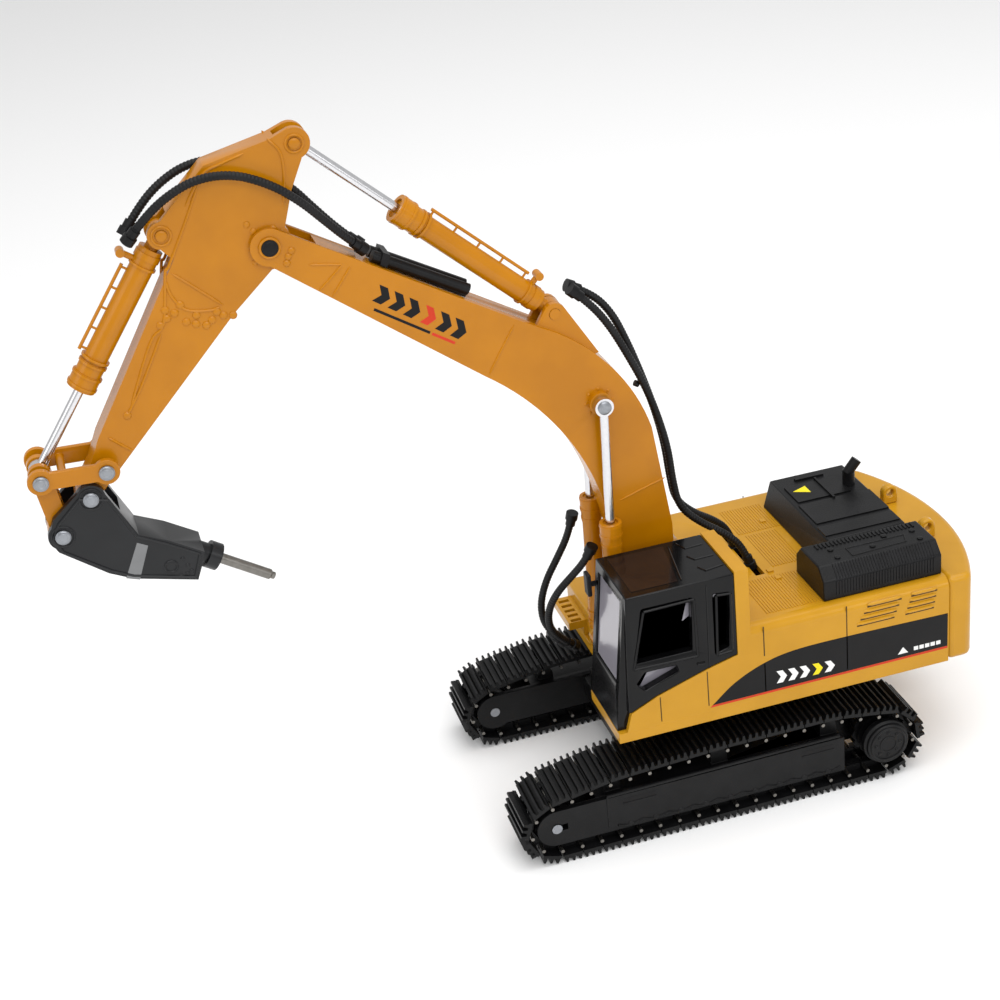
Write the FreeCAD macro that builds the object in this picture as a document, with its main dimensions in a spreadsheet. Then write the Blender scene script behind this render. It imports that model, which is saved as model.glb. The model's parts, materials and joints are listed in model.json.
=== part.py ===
"""Die-cast toy excavator, about 1:50, with a hydraulic breaker on its arm.

Frame: +X is forward, the way the boom points, +Y is the cab side and +Z is up.
Drawing positions are measured from the slewing axis at ground level, and every
sub-part is then moved along X by the same amount, so that the whole model is
centred over the origin. All sizes are in millimetres.
"""
import FreeCAD, Part
import math
import os
import Sketcher

Vector = FreeCAD.Vector

# ---------------------------------------------------------------- driving sizes
DIMENSIONS = {
    # tracks
    "track_centre": 25.2,        # from the middle of the model to the middle of a track
    "shoe_width": 13.4,
    "grouser_tip": 3.0,          # ground to the line of the track pins
    "shoe_face": 1.0,            # track pin line to the inner face of a shoe
    "shoe_thickness": 0.8,
    "shoe_count": 43,
    "track_pin_radius": 0.42,
    "sprocket_back": 40.0,       # slewing axis back to the sprocket axle
    "sprocket_pitch_radius": 6.9,
    "sprocket_teeth": 13,
    "idler_front": 40.3,         # slewing axis forward to the idler axle
    "idler_pitch_radius": 6.0,
    "axle_radius": 1.2,
    "running_gap": 0.06,         # radial clearance of every turning fit
    "hub_radius": 5.1,
    # chassis
    "frame_outer": 30.9,         # outer face of the track frame
    "frame_inner": 19.6,
    "plate_thickness": 1.5,
    "pedestal_radius": 12.5,
    "slew_post_radius": 2.6,
    # house
    "house_half_width": 29.6,
    "house_bottom": 26.4,
    "floor_thickness": 2.5,
    "casing_top": 48.2,
    "casing_rear": 56.8,
    "casing_wall": 1.4,
    "tail_radius": 70.0,
    "cab_front": 23.6,
    "cab_rear": 5.2,             # behind the slewing axis
    "cab_roof": 62.8,
    "cab_roof_front": 19.8,
    "cab_inner": 2.85,           # middle of a lift cylinder to the inner side of the cab
    "back_wall_thickness": 3.3,
    "hood_height": 7.4,
    # arm pins
    "foot_x": 3.5,
    "foot_z": 40.0,
    "lift_base_x": 15.5,
    "lift_base_z": 31.0,
    "lift_eye_ahead": 10.7,      # from the boom foot
    "lift_eye_above": 57.8,
    "elbow_ahead": 76.0,         # from the boom foot
    "elbow_above": 106.0,
    "crest_back": 8.2,           # stick cylinder's pin, from the elbow
    "crest_above": 19.5,
    "stick_base_ahead": 18.5,    # stick cylinder's base pin, from the boom foot
    "stick_base_above": 79.5,
    "nose_ahead": 20.4,          # breaker cylinder's base pin, from the elbow
    "nose_above": 6.0,
    "rocker_ahead": 40.3,        # rocker pin, from the elbow
    "rocker_below": 39.6,
    "rocker_length": 13.2,
    "rocker_rise": 0.6,
    "tip_ahead": 44.6,           # breaker pin, from the elbow
    "tip_below": 45.5,
    "link_ahead": 7.1,           # link pin, from the breaker pin
    "link_below": 7.0,
    # arm sections
    "boom_half": 4.4,
    "stick_half": 3.1,
    "breaker_half": 4.9,
    "rocker_inner": 5.15,
    "rocker_outer": 6.4,
    "rocker_eye_radius": 2.7,
    "pin_radius": 1.2,
    "head_radius": 1.6,
    "lift_offset": 2.7,          # side of the boom to the middle of a lift cylinder
    "barrel_radius": 2.5,
    "lift_barrel_radius": 2.2,
    "rod_radius": 1.05,
    "chisel_radius": 1.15,
    "hose_radius": 0.9,
}

document = FreeCAD.newDocument("excavator")
sheet = document.addObject("Spreadsheet::Sheet", "dims")
for row, (alias, number) in enumerate(DIMENSIONS.items(), start=1):
    sheet.set("A%d" % row, alias)
    sheet.set("B%d" % row, str(number))
    sheet.setAlias("B%d" % row, alias)
document.recompute()


class Size:
    """A length that knows its number and the formula over the sheet that gives it."""

    def __init__(self, number, text):
        self.number = number
        self.text = text

    def __add__(self, other):
        return joined(self, "+", other)

    def __radd__(self, other):
        return joined(other, "+", self)

    def __sub__(self, other):
        return joined(self, "-", other)

    def __rsub__(self, other):
        return joined(other, "-", self)

    def __mul__(self, other):
        return joined(self, "*", other)

    def __rmul__(self, other):
        return joined(other, "*", self)

    def __truediv__(self, other):
        return joined(self, "/", other)

    def __neg__(self):
        return joined(0, "-", self)


def number_of(value):
    return value.number if isinstance(value, Size) else float(value)


def text_of(value):
    return value.text if isinstance(value, Size) else "(%.9g)" % value


def joined(left, sign, right):
    """Combine two sizes with + - * or /, in numbers and in the formula's text."""
    a = number_of(left)
    b = number_of(right)
    numbers = {"+": a + b, "-": a - b, "*": a * b, "/": a / b if b else 0.0}
    return Size(numbers[sign], "(%s %s %s)" % (text_of(left), sign, text_of(right)))


def root_of(value):
    return Size(math.sqrt(number_of(value)), "sqrt(%s)" % text_of(value))


def dim(alias):
    return Size(float(sheet.get(alias)), "dims." + alias)


def bind(target, path, value):
    target.setExpression(path, text_of(value))


# ---------------------------------------------------------------- solid helpers
start_x = {}                     # where each solid's own frame stands along X
sub_parts = {}                   # node name to document object

# the model is moved along X so that its reach and its tail lie equally far out
ORIGIN_SHIFT = (dim("tail_radius") - dim("foot_x") - dim("elbow_ahead") - dim("rocker_ahead")
                - dim("rocker_length") - dim("rocker_eye_radius")) / 2


def place(solid, x, y, z):
    start_x[solid.Name] = x
    bind(solid, "Placement.Base.x", x)
    bind(solid, "Placement.Base.y", y)
    bind(solid, "Placement.Base.z", z)
    return solid


def box(x0, x1, y0, y1, z0, z1):
    solid = document.addObject("Part::Box", "block")
    bind(solid, "Length", x1 - x0)
    bind(solid, "Width", y1 - y0)
    bind(solid, "Height", z1 - z0)
    return place(solid, x0, y0, z0)


def disc(pin, radius, y0, y1):
    """A cylinder along Y about a pin, given as (x, z)."""
    solid = document.addObject("Part::Cylinder", "disc")
    bind(solid, "Radius", radius)
    bind(solid, "Height", y1 - y0)
    solid.Placement.Rotation = FreeCAD.Rotation(Vector(1, 0, 0), -90)
    return place(solid, pin[0], y0, pin[1])


def post(x, y, radius, z0, z1):
    solid = document.addObject("Part::Cylinder", "post")
    bind(solid, "Radius", radius)
    bind(solid, "Height", z1 - z0)
    return place(solid, x, y, z0)


def length_between(pin, end):
    run = end[0] - pin[0]
    rise = end[1] - pin[1]
    return root_of(run * run + rise * rise)


def shaft(pin, end, y, radius, near, far):
    """A round bar on the line from one pin to another, from near to far along it."""
    solid = document.addObject("Part::Cylinder", "shaft")
    run = end[0] - pin[0]
    rise = end[1] - pin[1]
    length = length_between(pin, end)
    bind(solid, "Radius", radius)
    bind(solid, "Height", far - near)
    angle = math.degrees(math.atan2(run.number, rise.number))
    solid.Placement.Rotation = FreeCAD.Rotation(Vector(0, 1, 0), angle)
    bind(solid, "Placement.Rotation.Angle", Size(angle, "atan2(%s; %s)" % (run.text, rise.text)))
    return place(solid, pin[0] + run * near / length, y, pin[1] + rise * near / length)


PLANES = {"side": "XZ_Plane", "plan": "XY_Plane", "end": "YZ_Plane"}


def outline_edges(points):
    """Lines and arcs round a closed outline. A third value is an arc's radius, and the
    arc arrives at its point: its centre is on the left of the path, or on the right
    if the radius is negative."""
    edges = []
    for index, point in enumerate(points):
        following = points[(index + 1) % len(points)]
        a = Vector(number_of(point[0]), number_of(point[1]), 0)
        b = Vector(number_of(following[0]), number_of(following[1]), 0)
        if len(following) == 2:
            edges.append(Part.LineSegment(a, b))
            continue
        radius = number_of(following[2])
        half = (b - a).Length / 2
        rise = abs(radius) - math.sqrt(radius * radius - half * half)
        across = Vector(b.y - a.y, a.x - b.x, 0).normalize() * math.copysign(rise, radius)
        edges.append(Part.Arc(a, (a + b) / 2 + across, b))
    return edges


def padded(plane, points, thickness, x=0, y=0, z=0):
    """A PartDesign body: a fully constrained sketch on one of its planes, padded."""
    body = document.addObject("PartDesign::Body", "body")
    sketch = body.newObject("Sketcher::SketchObject", "outline")
    for feature in body.Origin.OriginFeatures:
        if feature.Role == PLANES[plane]:
            sketch.AttachmentSupport = [(feature, "")]
    sketch.MapMode = "FlatFace"
    sketch.addGeometry(outline_edges(points))
    count = len(points)
    clockwise = [len(points[(i + 1) % count]) == 3 and number_of(points[(i + 1) % count][2]) < 0
                 for i in range(count)]
    for index, point in enumerate(points):
        first = 2 if clockwise[index] else 1
        last = 1 if clockwise[index - 1] else 2
        sketch.addConstraint(Sketcher.Constraint("Coincident", (index - 1) % count, last, index, first))
        for kind, value in (("DistanceX", point[0]), ("DistanceY", point[1])):
            spot = sketch.addConstraint(Sketcher.Constraint(kind, -1, 1, index, first, number_of(value)))
            if isinstance(value, Size):
                sketch.setExpression("Constraints[%d]" % spot, value.text)
        following = points[(index + 1) % count]
        if len(following) == 3:
            radius = abs(number_of(following[2]))
            sketch.addConstraint(Sketcher.Constraint("Radius", index, radius))
    pad = body.newObject("PartDesign::Pad", "pad")
    pad.Profile = sketch
    pad.Midplane = plane == "side"
    bind(pad, "Length", thickness)
    return place(body, x, y, z)


def plate(points, y0, y1):
    """A plate with a side outline, between two values of Y."""
    return padded("side", points, y1 - y0, y=(y0 + y1) / 2)


def fuse(*solids):
    union = document.addObject("Part::MultiFuse", "union")
    union.Shapes = list(solids)
    start_x[union.Name] = 0
    return union


def cut(base, *tools):
    difference = document.addObject("Part::Cut", "difference")
    difference.Base = base
    difference.Tool = tools[0] if len(tools) == 1 else fuse(*tools)
    start_x[difference.Name] = 0
    return difference


def group(*solids):
    together = document.addObject("Part::Compound", "group")
    together.Links = list(solids)
    start_x[together.Name] = 0
    return together


def node(name, solid):
    """Name a finished sub-part and move it into the model's frame."""
    solid.Label = name
    bind(solid, "Placement.Base.x", start_x[solid.Name] + ORIGIN_SHIFT)
    sub_parts[name] = solid


def shaped_node(name, shape):
    """A sub-part whose shape is worked out by a function: a chain or a hose."""
    solid = document.addObject("Part::Feature", name)
    solid.Shape = shape
    solid.Placement = FreeCAD.Placement(Vector(ORIGIN_SHIFT.number, 0, 0), FreeCAD.Rotation())
    solid.Label = name
    bind(solid, "Placement.Base.x", ORIGIN_SHIFT)
    sub_parts[name] = solid


def between(side, low, high):
    """The span from low to high on the left, side 1, or its mirror on the right, side -1."""
    return (low, high) if side > 0 else (-high, -low)


def offset(pin, ahead, above):
    return (pin[0] + ahead, pin[1] + above)


SIDES = (("left", 1), ("right", -1))
GAP = dim("running_gap")
PIN = dim("pin_radius")
HEAD = dim("head_radius")
ROD = dim("rod_radius")

# ---------------------------------------------------------------- pins and axles
FOOT = (dim("foot_x"), dim("foot_z"))
LIFT_BASE = (dim("lift_base_x"), dim("lift_base_z"))
LIFT_EYE = offset(FOOT, dim("lift_eye_ahead"), dim("lift_eye_above"))
ELBOW = offset(FOOT, dim("elbow_ahead"), dim("elbow_above"))
CREST = offset(ELBOW, -dim("crest_back"), dim("crest_above"))
STICK_BASE = offset(FOOT, dim("stick_base_ahead"), dim("stick_base_above"))
NOSE = offset(ELBOW, dim("nose_ahead"), dim("nose_above"))
ROCKER = offset(ELBOW, dim("rocker_ahead"), -dim("rocker_below"))
ROCKER_END = offset(ROCKER, dim("rocker_length"), dim("rocker_rise"))
TIP = offset(ELBOW, dim("tip_ahead"), -dim("tip_below"))
LINK = offset(TIP, dim("link_ahead"), -dim("link_below"))
SPROCKET = (-dim("sprocket_back"), dim("sprocket_pitch_radius") + dim("grouser_tip"))
IDLER = (dim("idler_front"), dim("idler_pitch_radius") + dim("grouser_tip"))

# ---------------------------------------------------------------- track chains
# The chain's pins run round the sprocket, the idler and three guides on the track
# frame, which hold the upper run up in a low hump.
GUIDE_RADIUS = 3.0               # pin line's radius over a guide
GUIDE_CENTRES = ((-27.0, 15.8), (0.0, 15.8), (26.0, 14.7))
GUIDE_SKID = 2.0                 # radius of the guide itself, under the links


def tangent_points(first, second):
    """Where the outer tangent of two circles (x, z, radius) leaves one and meets the other,
    for a belt that runs round them clockwise."""
    dx = second[0] - first[0]
    dz = second[1] - first[1]
    distance = math.hypot(dx, dz)
    angle = math.atan2(dz, dx) + math.acos((first[2] - second[2]) / distance)
    normal = (math.cos(angle), math.sin(angle))
    leave = (first[0] + first[2] * normal[0], first[1] + first[2] * normal[1])
    meet = (second[0] + second[2] * normal[0], second[1] + second[2] * normal[1])
    return leave, meet, angle


def belt_wire():
    """The closed line that the track pins lie on, in the XZ plane."""
    circles = [(SPROCKET[0].number, SPROCKET[1].number, dim("sprocket_pitch_radius").number)]
    circles += [(x, z, GUIDE_RADIUS) for x, z in GUIDE_CENTRES]
    circles += [(IDLER[0].number, IDLER[1].number, dim("idler_pitch_radius").number)]
    runs = [tangent_points(circles[i], circles[(i + 1) % len(circles)]) for i in range(len(circles))]
    edges = []
    for index, circle in enumerate(circles):
        arrive = runs[index - 1]
        leave = runs[index]
        turn = (arrive[2] - leave[2]) % (2 * math.pi)
        middle = arrive[2] - turn / 2
        crown = (circle[0] + circle[2] * math.cos(middle), circle[1] + circle[2] * math.sin(middle))
        points = [Vector(arrive[1][0], 0, arrive[1][1]), Vector(crown[0], 0, crown[1]),
                  Vector(leave[0][0], 0, leave[0][1])]
        edges.append(Part.Arc(*points).toShape())
        edges.append(Part.LineSegment(points[2], Vector(leave[1][0], 0, leave[1][1])).toShape())
    return Part.Wire(edges)


def belt_points():
    """The track pins, evenly spaced along the belt's line."""
    return belt_wire().discretize(Number=int(dim("shoe_count").number) + 1)[:-1]


def shoe_profile(pitch):
    """Side outline of one shoe with three grousers: s runs along the chain, n outwards."""
    half = pitch / 2 - 0.12
    face = dim("shoe_face").number
    back = face + dim("shoe_thickness").number
    tip = dim("grouser_tip").number
    rib = 0.42                   # half the width of a grouser at its root
    crown = 0.24                 # and at its tip
    points = [(-half, face), (-half, back)]
    for middle in (-pitch / 3, 0.0, pitch / 3):
        points += [(middle - rib, back), (middle - crown, tip), (middle + crown, tip), (middle + rib, back)]
    points += [(half, back), (half, face)]
    return points


def chain_shoes(centre_y):
    """All the shoes of one track, each a plate with grousers and four link lugs."""
    pins = belt_points()
    pitch = belt_wire().Length / len(pins)
    width = dim("shoe_width").number
    corners = [Vector(s, -width / 2, n) for s, n in shoe_profile(pitch)]
    shoe = Part.Face(Part.makePolygon(corners + corners[:1])).extrude(Vector(0, width, 0))
    lug_height = dim("shoe_face").number + 0.7
    for lug_y, shift in ((1.6, 0.55), (2.7, -0.55)):
        for side in (1, -1):
            low_y = lug_y if side > 0 else -lug_y - 1.0
            lug = Part.makeBox(pitch - 0.3, 1.0, lug_height, Vector(-pitch / 2 + 0.15 + shift, low_y, -0.7))
            shoe = shoe.fuse(lug)
    shoe = shoe.removeSplitter()
    shoes = []
    for index, pin in enumerate(pins):
        following = pins[(index + 1) % len(pins)]
        along = following - pin
        turn = math.degrees(math.atan2(along.z, along.x))
        copy = shoe.copy()
        middle = (pin + following) / 2
        # the belt runs clockwise, so its outer side is on the left of the run
        copy.Placement = FreeCAD.Placement(Vector(middle.x, centre_y, middle.z),
                                           FreeCAD.Rotation(Vector(0, -1, 0), turn))
        shoes.append(copy)
    return Part.makeCompound(shoes)


def chain_pins(centre_y):
    reach = dim("shoe_width").number / 2 - 0.3
    radius = dim("track_pin_radius").number
    pins = [Part.makeCylinder(radius, 2 * reach, Vector(p.x, centre_y - reach, p.z), Vector(0, 1, 0))
            for p in belt_points()]
    return Part.makeCompound(pins)


# ---------------------------------------------------------------- undercarriage
PLATE = dim("plate_thickness")
FRAME_LOW = dim("grouser_tip") + 1.4
FRAME_END = dim("idler_pitch_radius") - 1.4     # radius of the frame's rounded end


def track_frame(side):
    """Two side plates with a box between them, rollers below and guides above."""
    outer = between(side, dim("frame_outer") - PLATE, dim("frame_outer"))
    inner = between(side, dim("frame_inner"), dim("frame_inner") + PLATE)
    core = between(side, dim("frame_inner") + PLATE, dim("frame_outer") - PLATE)
    links = between(side, dim("track_centre") - 3.0, dim("track_centre") + 3.0)
    top = IDLER[1] + FRAME_END
    rear = SPROCKET[0] + 10.2
    sprocket_end = dim("sprocket_pitch_radius") - 1.9
    solids = [box(rear, IDLER[0], outer[0], outer[1], FRAME_LOW, top),
              disc(IDLER, FRAME_END, *outer),
              box(SPROCKET[0], IDLER[0], inner[0], inner[1], SPROCKET[1] - sprocket_end + 0.3, top),
              disc(IDLER, FRAME_END, *inner),
              disc(SPROCKET, sprocket_end, *inner),
              box(rear, IDLER[0] - 10.0, core[0], core[1], FRAME_LOW + 0.6, top)]
    for x, z in GUIDE_CENTRES:
        solids.append(disc((x, z), GUIDE_SKID, *links))
        solids.append(box(x - GUIDE_SKID, x + GUIDE_SKID, links[0], links[1], top - 0.5, z))
    for index in range(8):
        solids.append(disc((-26.0 + 7.6 * index, 5.8), 1.8, *links))
    slot = fuse(disc(IDLER, dim("axle_radius") + GAP, *outer),
                box(IDLER[0] - 2.6, IDLER[0], outer[0], outer[1], IDLER[1] - 0.8, IDLER[1] + 0.8))
    return cut(fuse(*solids), slot,
               disc(IDLER, dim("axle_radius") + GAP, *inner),
               disc(SPROCKET, dim("axle_radius") + GAP, *inner))


def sprocket(side):
    """A toothed wheel: its rim carries the links and its teeth stand between them."""
    centre = dim("track_centre")
    rim = between(side, centre - 2.6, centre + 2.6)
    teeth = between(side, centre - 1.2, centre + 1.2)
    solids = [disc(SPROCKET, dim("sprocket_pitch_radius") - 1.7, *rim)]
    count = int(dim("sprocket_teeth").number)
    for index in range(count):
        angle = 2 * math.pi * index / count
        run = dim("sprocket_pitch_radius") - 2.3
        tooth = (SPROCKET[0] + run * math.cos(angle), SPROCKET[1] + run * math.sin(angle))
        solids.append(disc(tooth, 1.5, *teeth))
    return cut(fuse(*solids), disc(SPROCKET, dim("axle_radius") + GAP, *rim))


def hub_cap(side):
    """The final drive's round cover, with a stepped rim and a neck to the sprocket."""
    centre = dim("track_centre")
    neck = between(side, centre + 2.6, dim("frame_outer") - 1.0)
    rim = between(side, dim("frame_outer") - 1.0, dim("frame_outer") + 0.7)
    face = between(side, dim("frame_outer") + 0.7, dim("frame_outer") + 1.8)
    bore = between(side, centre + 2.6, dim("frame_outer") + 0.3)
    return cut(fuse(disc(SPROCKET, 2.6, *neck),
                    disc(SPROCKET, dim("hub_radius") + 0.5, *rim),
                    disc(SPROCKET, dim("hub_radius"), *face)),
               disc(SPROCKET, dim("axle_radius") + GAP, *bore))


def idler(side):
    centre = dim("track_centre")
    tread = between(side, centre - 3.4, centre + 3.4)
    waist = between(side, centre - 1.2, centre + 1.2)
    radius = dim("idler_pitch_radius") - 1.45
    return cut(fuse(disc(IDLER, radius, *tread), disc(IDLER, radius + 0.35, *waist)),
               disc(IDLER, dim("axle_radius") + GAP, *tread))


for label, side in SIDES:
    centre_y = side * dim("track_centre").number
    node("track_frame_" + label, track_frame(side))
    shaped_node("track_shoes_" + label, chain_shoes(centre_y))
    shaped_node("track_pins_" + label, chain_pins(centre_y))
    node("sprocket_" + label, sprocket(side))
    node("hub_cap_" + label, hub_cap(side))
    node("idler_" + label, idler(side))

axles = []
for label, side in SIDES:
    axles.append(disc(SPROCKET, dim("axle_radius"), *between(side, dim("frame_inner"), dim("frame_outer"))))
    axle_end = dim("frame_outer") + 0.2
    axles.append(disc(IDLER, dim("axle_radius"), *between(side, dim("frame_inner"), axle_end)))
node("wheel_axles", group(*axles))

HOUSE_LOW = dim("house_bottom")
FLOOR = HOUSE_LOW + dim("floor_thickness")
CASING_TOP = dim("casing_top")
SEAT_GAP = 0.15                  # axial play of the slewing joint
POST = dim("slew_post_radius")
SCREW_SHANK = 1.2


def lower_frame():
    """The car body: a centre box, four legs to the track frames and the slewing pedestal."""
    inner = dim("frame_inner")
    solids = [box(-17.0, 17.0, -13.5, 13.5, 8.0, 19.5)]
    for x in (-17.0, 8.0):
        solids.append(box(x, x + 9.0, -inner, inner, 8.0, 13.4))
    solids.append(post(0, 0, dim("pedestal_radius"), 19.5, HOUSE_LOW - SEAT_GAP))
    solids.append(post(0, 0, POST, HOUSE_LOW - SEAT_GAP, FLOOR + SEAT_GAP))
    return cut(fuse(*solids), post(0, 0, SCREW_SHANK, HOUSE_LOW - 8.0, FLOOR + SEAT_GAP))


node("lower_frame", lower_frame())
node("slew_screw", fuse(post(0, 0, SCREW_SHANK, HOUSE_LOW - 7.0, FLOOR + SEAT_GAP),
                        post(0, 0, POST + 1.4, FLOOR + SEAT_GAP, FLOOR + SEAT_GAP + 1.2)))

# ---------------------------------------------------------------- house
HALF = dim("house_half_width")
REAR = -dim("casing_rear")
WALL = dim("casing_wall")
CAB_REAR = -dim("cab_rear")
WALL_REAR = CAB_REAR - dim("back_wall_thickness")
CAB_FRONT = dim("cab_front")
BOOM = dim("boom_half")
LIFT = BOOM + dim("lift_offset")
CAB_IN = LIFT + dim("cab_inner")
CAB_TOP = dim("cab_roof")
BRACKET = (BOOM + 0.7, BOOM + 2.1)   # the boom bracket's plates, from the middle
SCREWS = ((-50.0, 22.0), (-50.0, -22.0), (-14.0, 22.0), (-14.0, -22.0))


def house_floor():
    """The turntable plate, with the boom's bracket and the lift cylinders' ears on it."""
    solids = [box(REAR, 17.4, -HALF, HALF, HOUSE_LOW, FLOOR),
              box(17.4, CAB_FRONT, CAB_IN, HALF, HOUSE_LOW, FLOOR)]
    holes = [post(0, 0, POST + GAP, HOUSE_LOW, FLOOR)]
    for side in (1, -1):
        ear = between(side, *BRACKET)
        solids.append(plate([(FOOT[0] - 8.5, FLOOR), (FOOT[0] + 7.5, FLOOR), (FOOT[0] + 4.2, FOOT[1]),
                             (FOOT[0] - 4.2, FOOT[1])], *ear))
        solids.append(disc(FOOT, 4.2, *ear))
        holes.append(disc(FOOT, PIN + GAP, *ear))
        for low, high in ((-2.5, -1.3), (1.3, 2.5)):
            lug = between(side, LIFT + low, LIFT + high)
            solids.append(box(LIFT_BASE[0] - 2.3, LIFT_BASE[0] + 1.9, lug[0], lug[1], FLOOR, LIFT_BASE[1]))
            solids.append(disc(LIFT_BASE, 1.9, *lug))
            holes.append(disc(LIFT_BASE, PIN + GAP, *lug))
    for x, y in SCREWS:
        holes.append(post(x, y, 1.0, HOUSE_LOW, FLOOR))
        holes.append(post(x, y, 2.0, HOUSE_LOW, HOUSE_LOW + 1.1))
    return cut(fuse(*solids), *holes)


def body_casing():
    """The engine casing with rounded shoulders, the wall behind the cab and the side panel."""
    shoulder = 2.5
    top = CASING_TOP
    profile = [(-HALF, FLOOR), (HALF, FLOOR), (HALF, top - shoulder), (HALF - shoulder, top, shoulder),
               (shoulder - HALF, top), (-HALF, top - shoulder, shoulder)]
    outer = padded("end", profile, WALL_REAR - REAR, x=REAR)
    inner = box(REAR + WALL, WALL_REAR - WALL, WALL - HALF, HALF - WALL, FLOOR, top - WALL)
    hose_slot = box(-20.7, -18.5, -14.0, 9.2, top - WALL, top)
    back_wall = box(WALL_REAR, CAB_REAR - 0.05, CAB_IN, HALF, FLOOR, CAB_TOP + 0.4)
    panel = plate([(WALL_REAR, FLOOR), (21.6, FLOOR), (20.3, 33.5), (14.0, 36.4), (2.0, 40.2),
                   (CAB_REAR, 42.0), (WALL_REAR, 42.0)], HALF - 1.2, HALF)
    bosses = [post(x, y, 2.2, FLOOR, top - WALL + 0.4) for x, y in SCREWS]
    bores = [post(x, y, 0.9, FLOOR, FLOOR + 8.0) for x, y in SCREWS]
    return cut(fuse(cut(outer, inner, hose_slot), back_wall, panel, *bosses), *bores)


def counterweight():
    """The cast tail: straight sides, then one arc about the slewing axis."""
    side_rear = REAR - 5.4
    tail = dim("tail_radius")
    half_chord = HALF.number
    depth = tail.number + side_rear.number
    radius = (half_chord * half_chord + depth * depth) / (2 * depth)
    middle = -tail
    plan = [(REAR, HALF), (side_rear, HALF), (middle, 0.0, radius), (side_rear, -HALF, radius),
            (REAR, -HALF)]
    return padded("plan", plan, CASING_TOP - HOUSE_LOW, z=HOUSE_LOW)


def lifting_lug(y):
    """One lifting lug: a round-topped plate with an eye, on the counterweight."""
    pin = (REAR - 4.6, CASING_TOP + 2.9)
    solid = fuse(disc(pin, 1.9, y - 1.0, y + 1.0),
                 box(pin[0] - 1.9, pin[0] + 1.9, y - 1.0, y + 1.0, CASING_TOP, pin[1]))
    return cut(solid, disc(pin, 0.9, y - 1.0, y + 1.0))


def engine_hood():
    """The moulded engine cover: a wide middle with a sloping front and a taller box beside it."""
    low = CASING_TOP
    high = low + dim("hood_height")
    middle = plate([(-55.6, low), (-33.2, low), (-35.2, high - 0.6), (-54.6, high - 0.6)], -21.0, 12.5)
    side_box = padded("end", [(11.8, low), (26.8, low), (26.8, low + 5.0), (24.0, high + 0.4),
                              (14.4, high + 0.4), (11.8, low + 5.0)], 29.0, x=-56.4)
    return fuse(middle, side_box)


def exhaust_pipe():
    """A short stack with a turned-back outlet."""
    foot = CASING_TOP + dim("hood_height") - 0.6
    spot = (REAR + 5.4, foot + 3.6)
    bend = (REAR + 3.2, foot + 6.2)
    return fuse(post(spot[0], -10.7, 1.5, foot, spot[1]), shaft(spot, bend, -10.7, 1.3, -0.6, 3.4))


CAB_SKIN = 1.0
WINDOWS = {                      # side windows, as corners (x, z) seen from the left
    "door": [(5.2, 46.0), (18.6, 46.0), (16.3, 59.2), (4.8, 59.2)],
    "rear": [(-3.4, 44.6), (0.0, 43.6), (-0.2, 58.8), (-3.9, 58.4)],
    "corner": [(9.2, 43.2), (8.6, 41.6), (16.8, 38.6), (18.6, 40.6), (16.6, 43.2)],
}


def cab_outline(inset):
    return [(CAB_REAR + inset, FLOOR + inset), (CAB_FRONT - inset, FLOOR + inset),
            (dim("cab_roof_front") - inset, CAB_TOP - inset), (CAB_REAR + inset, CAB_TOP - inset)]


def cab_shell():
    """A hollow cab with open windows. Its outer side stands proud above the body panel."""
    side_face = HALF - 1.25
    shell = plate(cab_outline(0), CAB_IN, side_face)
    hollow = plate(cab_outline(CAB_SKIN), CAB_IN + CAB_SKIN, side_face - CAB_SKIN)
    door = plate([(21.0, 33.8), (dim("cab_roof_front"), CAB_TOP), (CAB_REAR, CAB_TOP), (CAB_REAR, 42.1),
                  (2.1, 40.3), (14.1, 36.5), (20.4, 33.6)], side_face, HALF)
    holes = [plate(corners, side_face - CAB_SKIN, HALF) for corners in WINDOWS.values()]
    holes.append(plate(WINDOWS["door"], CAB_IN, CAB_IN + CAB_SKIN))
    holes.append(box(18.0, CAB_FRONT, CAB_IN + 2.2, side_face - 2.2, 40.0, CAB_TOP - 2.4))
    return cut(fuse(cut(shell, hollow), door), *holes)


def cab_panes():
    """Glass for the cab, just inside its window openings."""
    inside = HALF - 1.25 - CAB_SKIN
    pane = 0.5
    sides = plate([(CAB_REAR + 1.1, 38.0), (21.0, 37.0), (18.2, CAB_TOP - 1.5),
                   (CAB_REAR + 1.1, CAB_TOP - 1.5)], inside - pane, inside)
    inner = plate(WINDOWS["door"], CAB_IN + 0.25, CAB_IN + 0.75)
    slope = (dim("cab_roof_front") - CAB_FRONT) / (CAB_TOP - FLOOR)
    low_x = CAB_FRONT + slope * (40.2 - FLOOR) - CAB_SKIN
    high_x = CAB_FRONT + slope * (CAB_TOP - 2.6 - FLOOR) - CAB_SKIN
    front = plate([(low_x, 40.2), (low_x + pane, 40.2), (high_x + pane, CAB_TOP - 2.6),
                   (high_x, CAB_TOP - 2.6)], CAB_IN + 2.4, inside - 1.4)
    return group(sides, inner, front)


def driver_seat():
    low = FLOOR + CAB_SKIN
    return fuse(box(1.0, 9.0, 15.0, 24.0, low, low + 9.0), box(1.0, 10.5, 14.0, 25.0, low + 9.0, low + 11.0),
                box(0.0, 2.0, 14.5, 24.5, low + 9.0, low + 24.0))


def tool_box():
    """The storage box ahead of the tank on the right, one step lower at the front."""
    low = FLOOR
    return fuse(box(WALL_REAR + 0.05, 9.0, -HALF, -10.2, low, 41.0), box(9.0, 16.4, -HALF, -10.2, low, 36.0))


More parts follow.
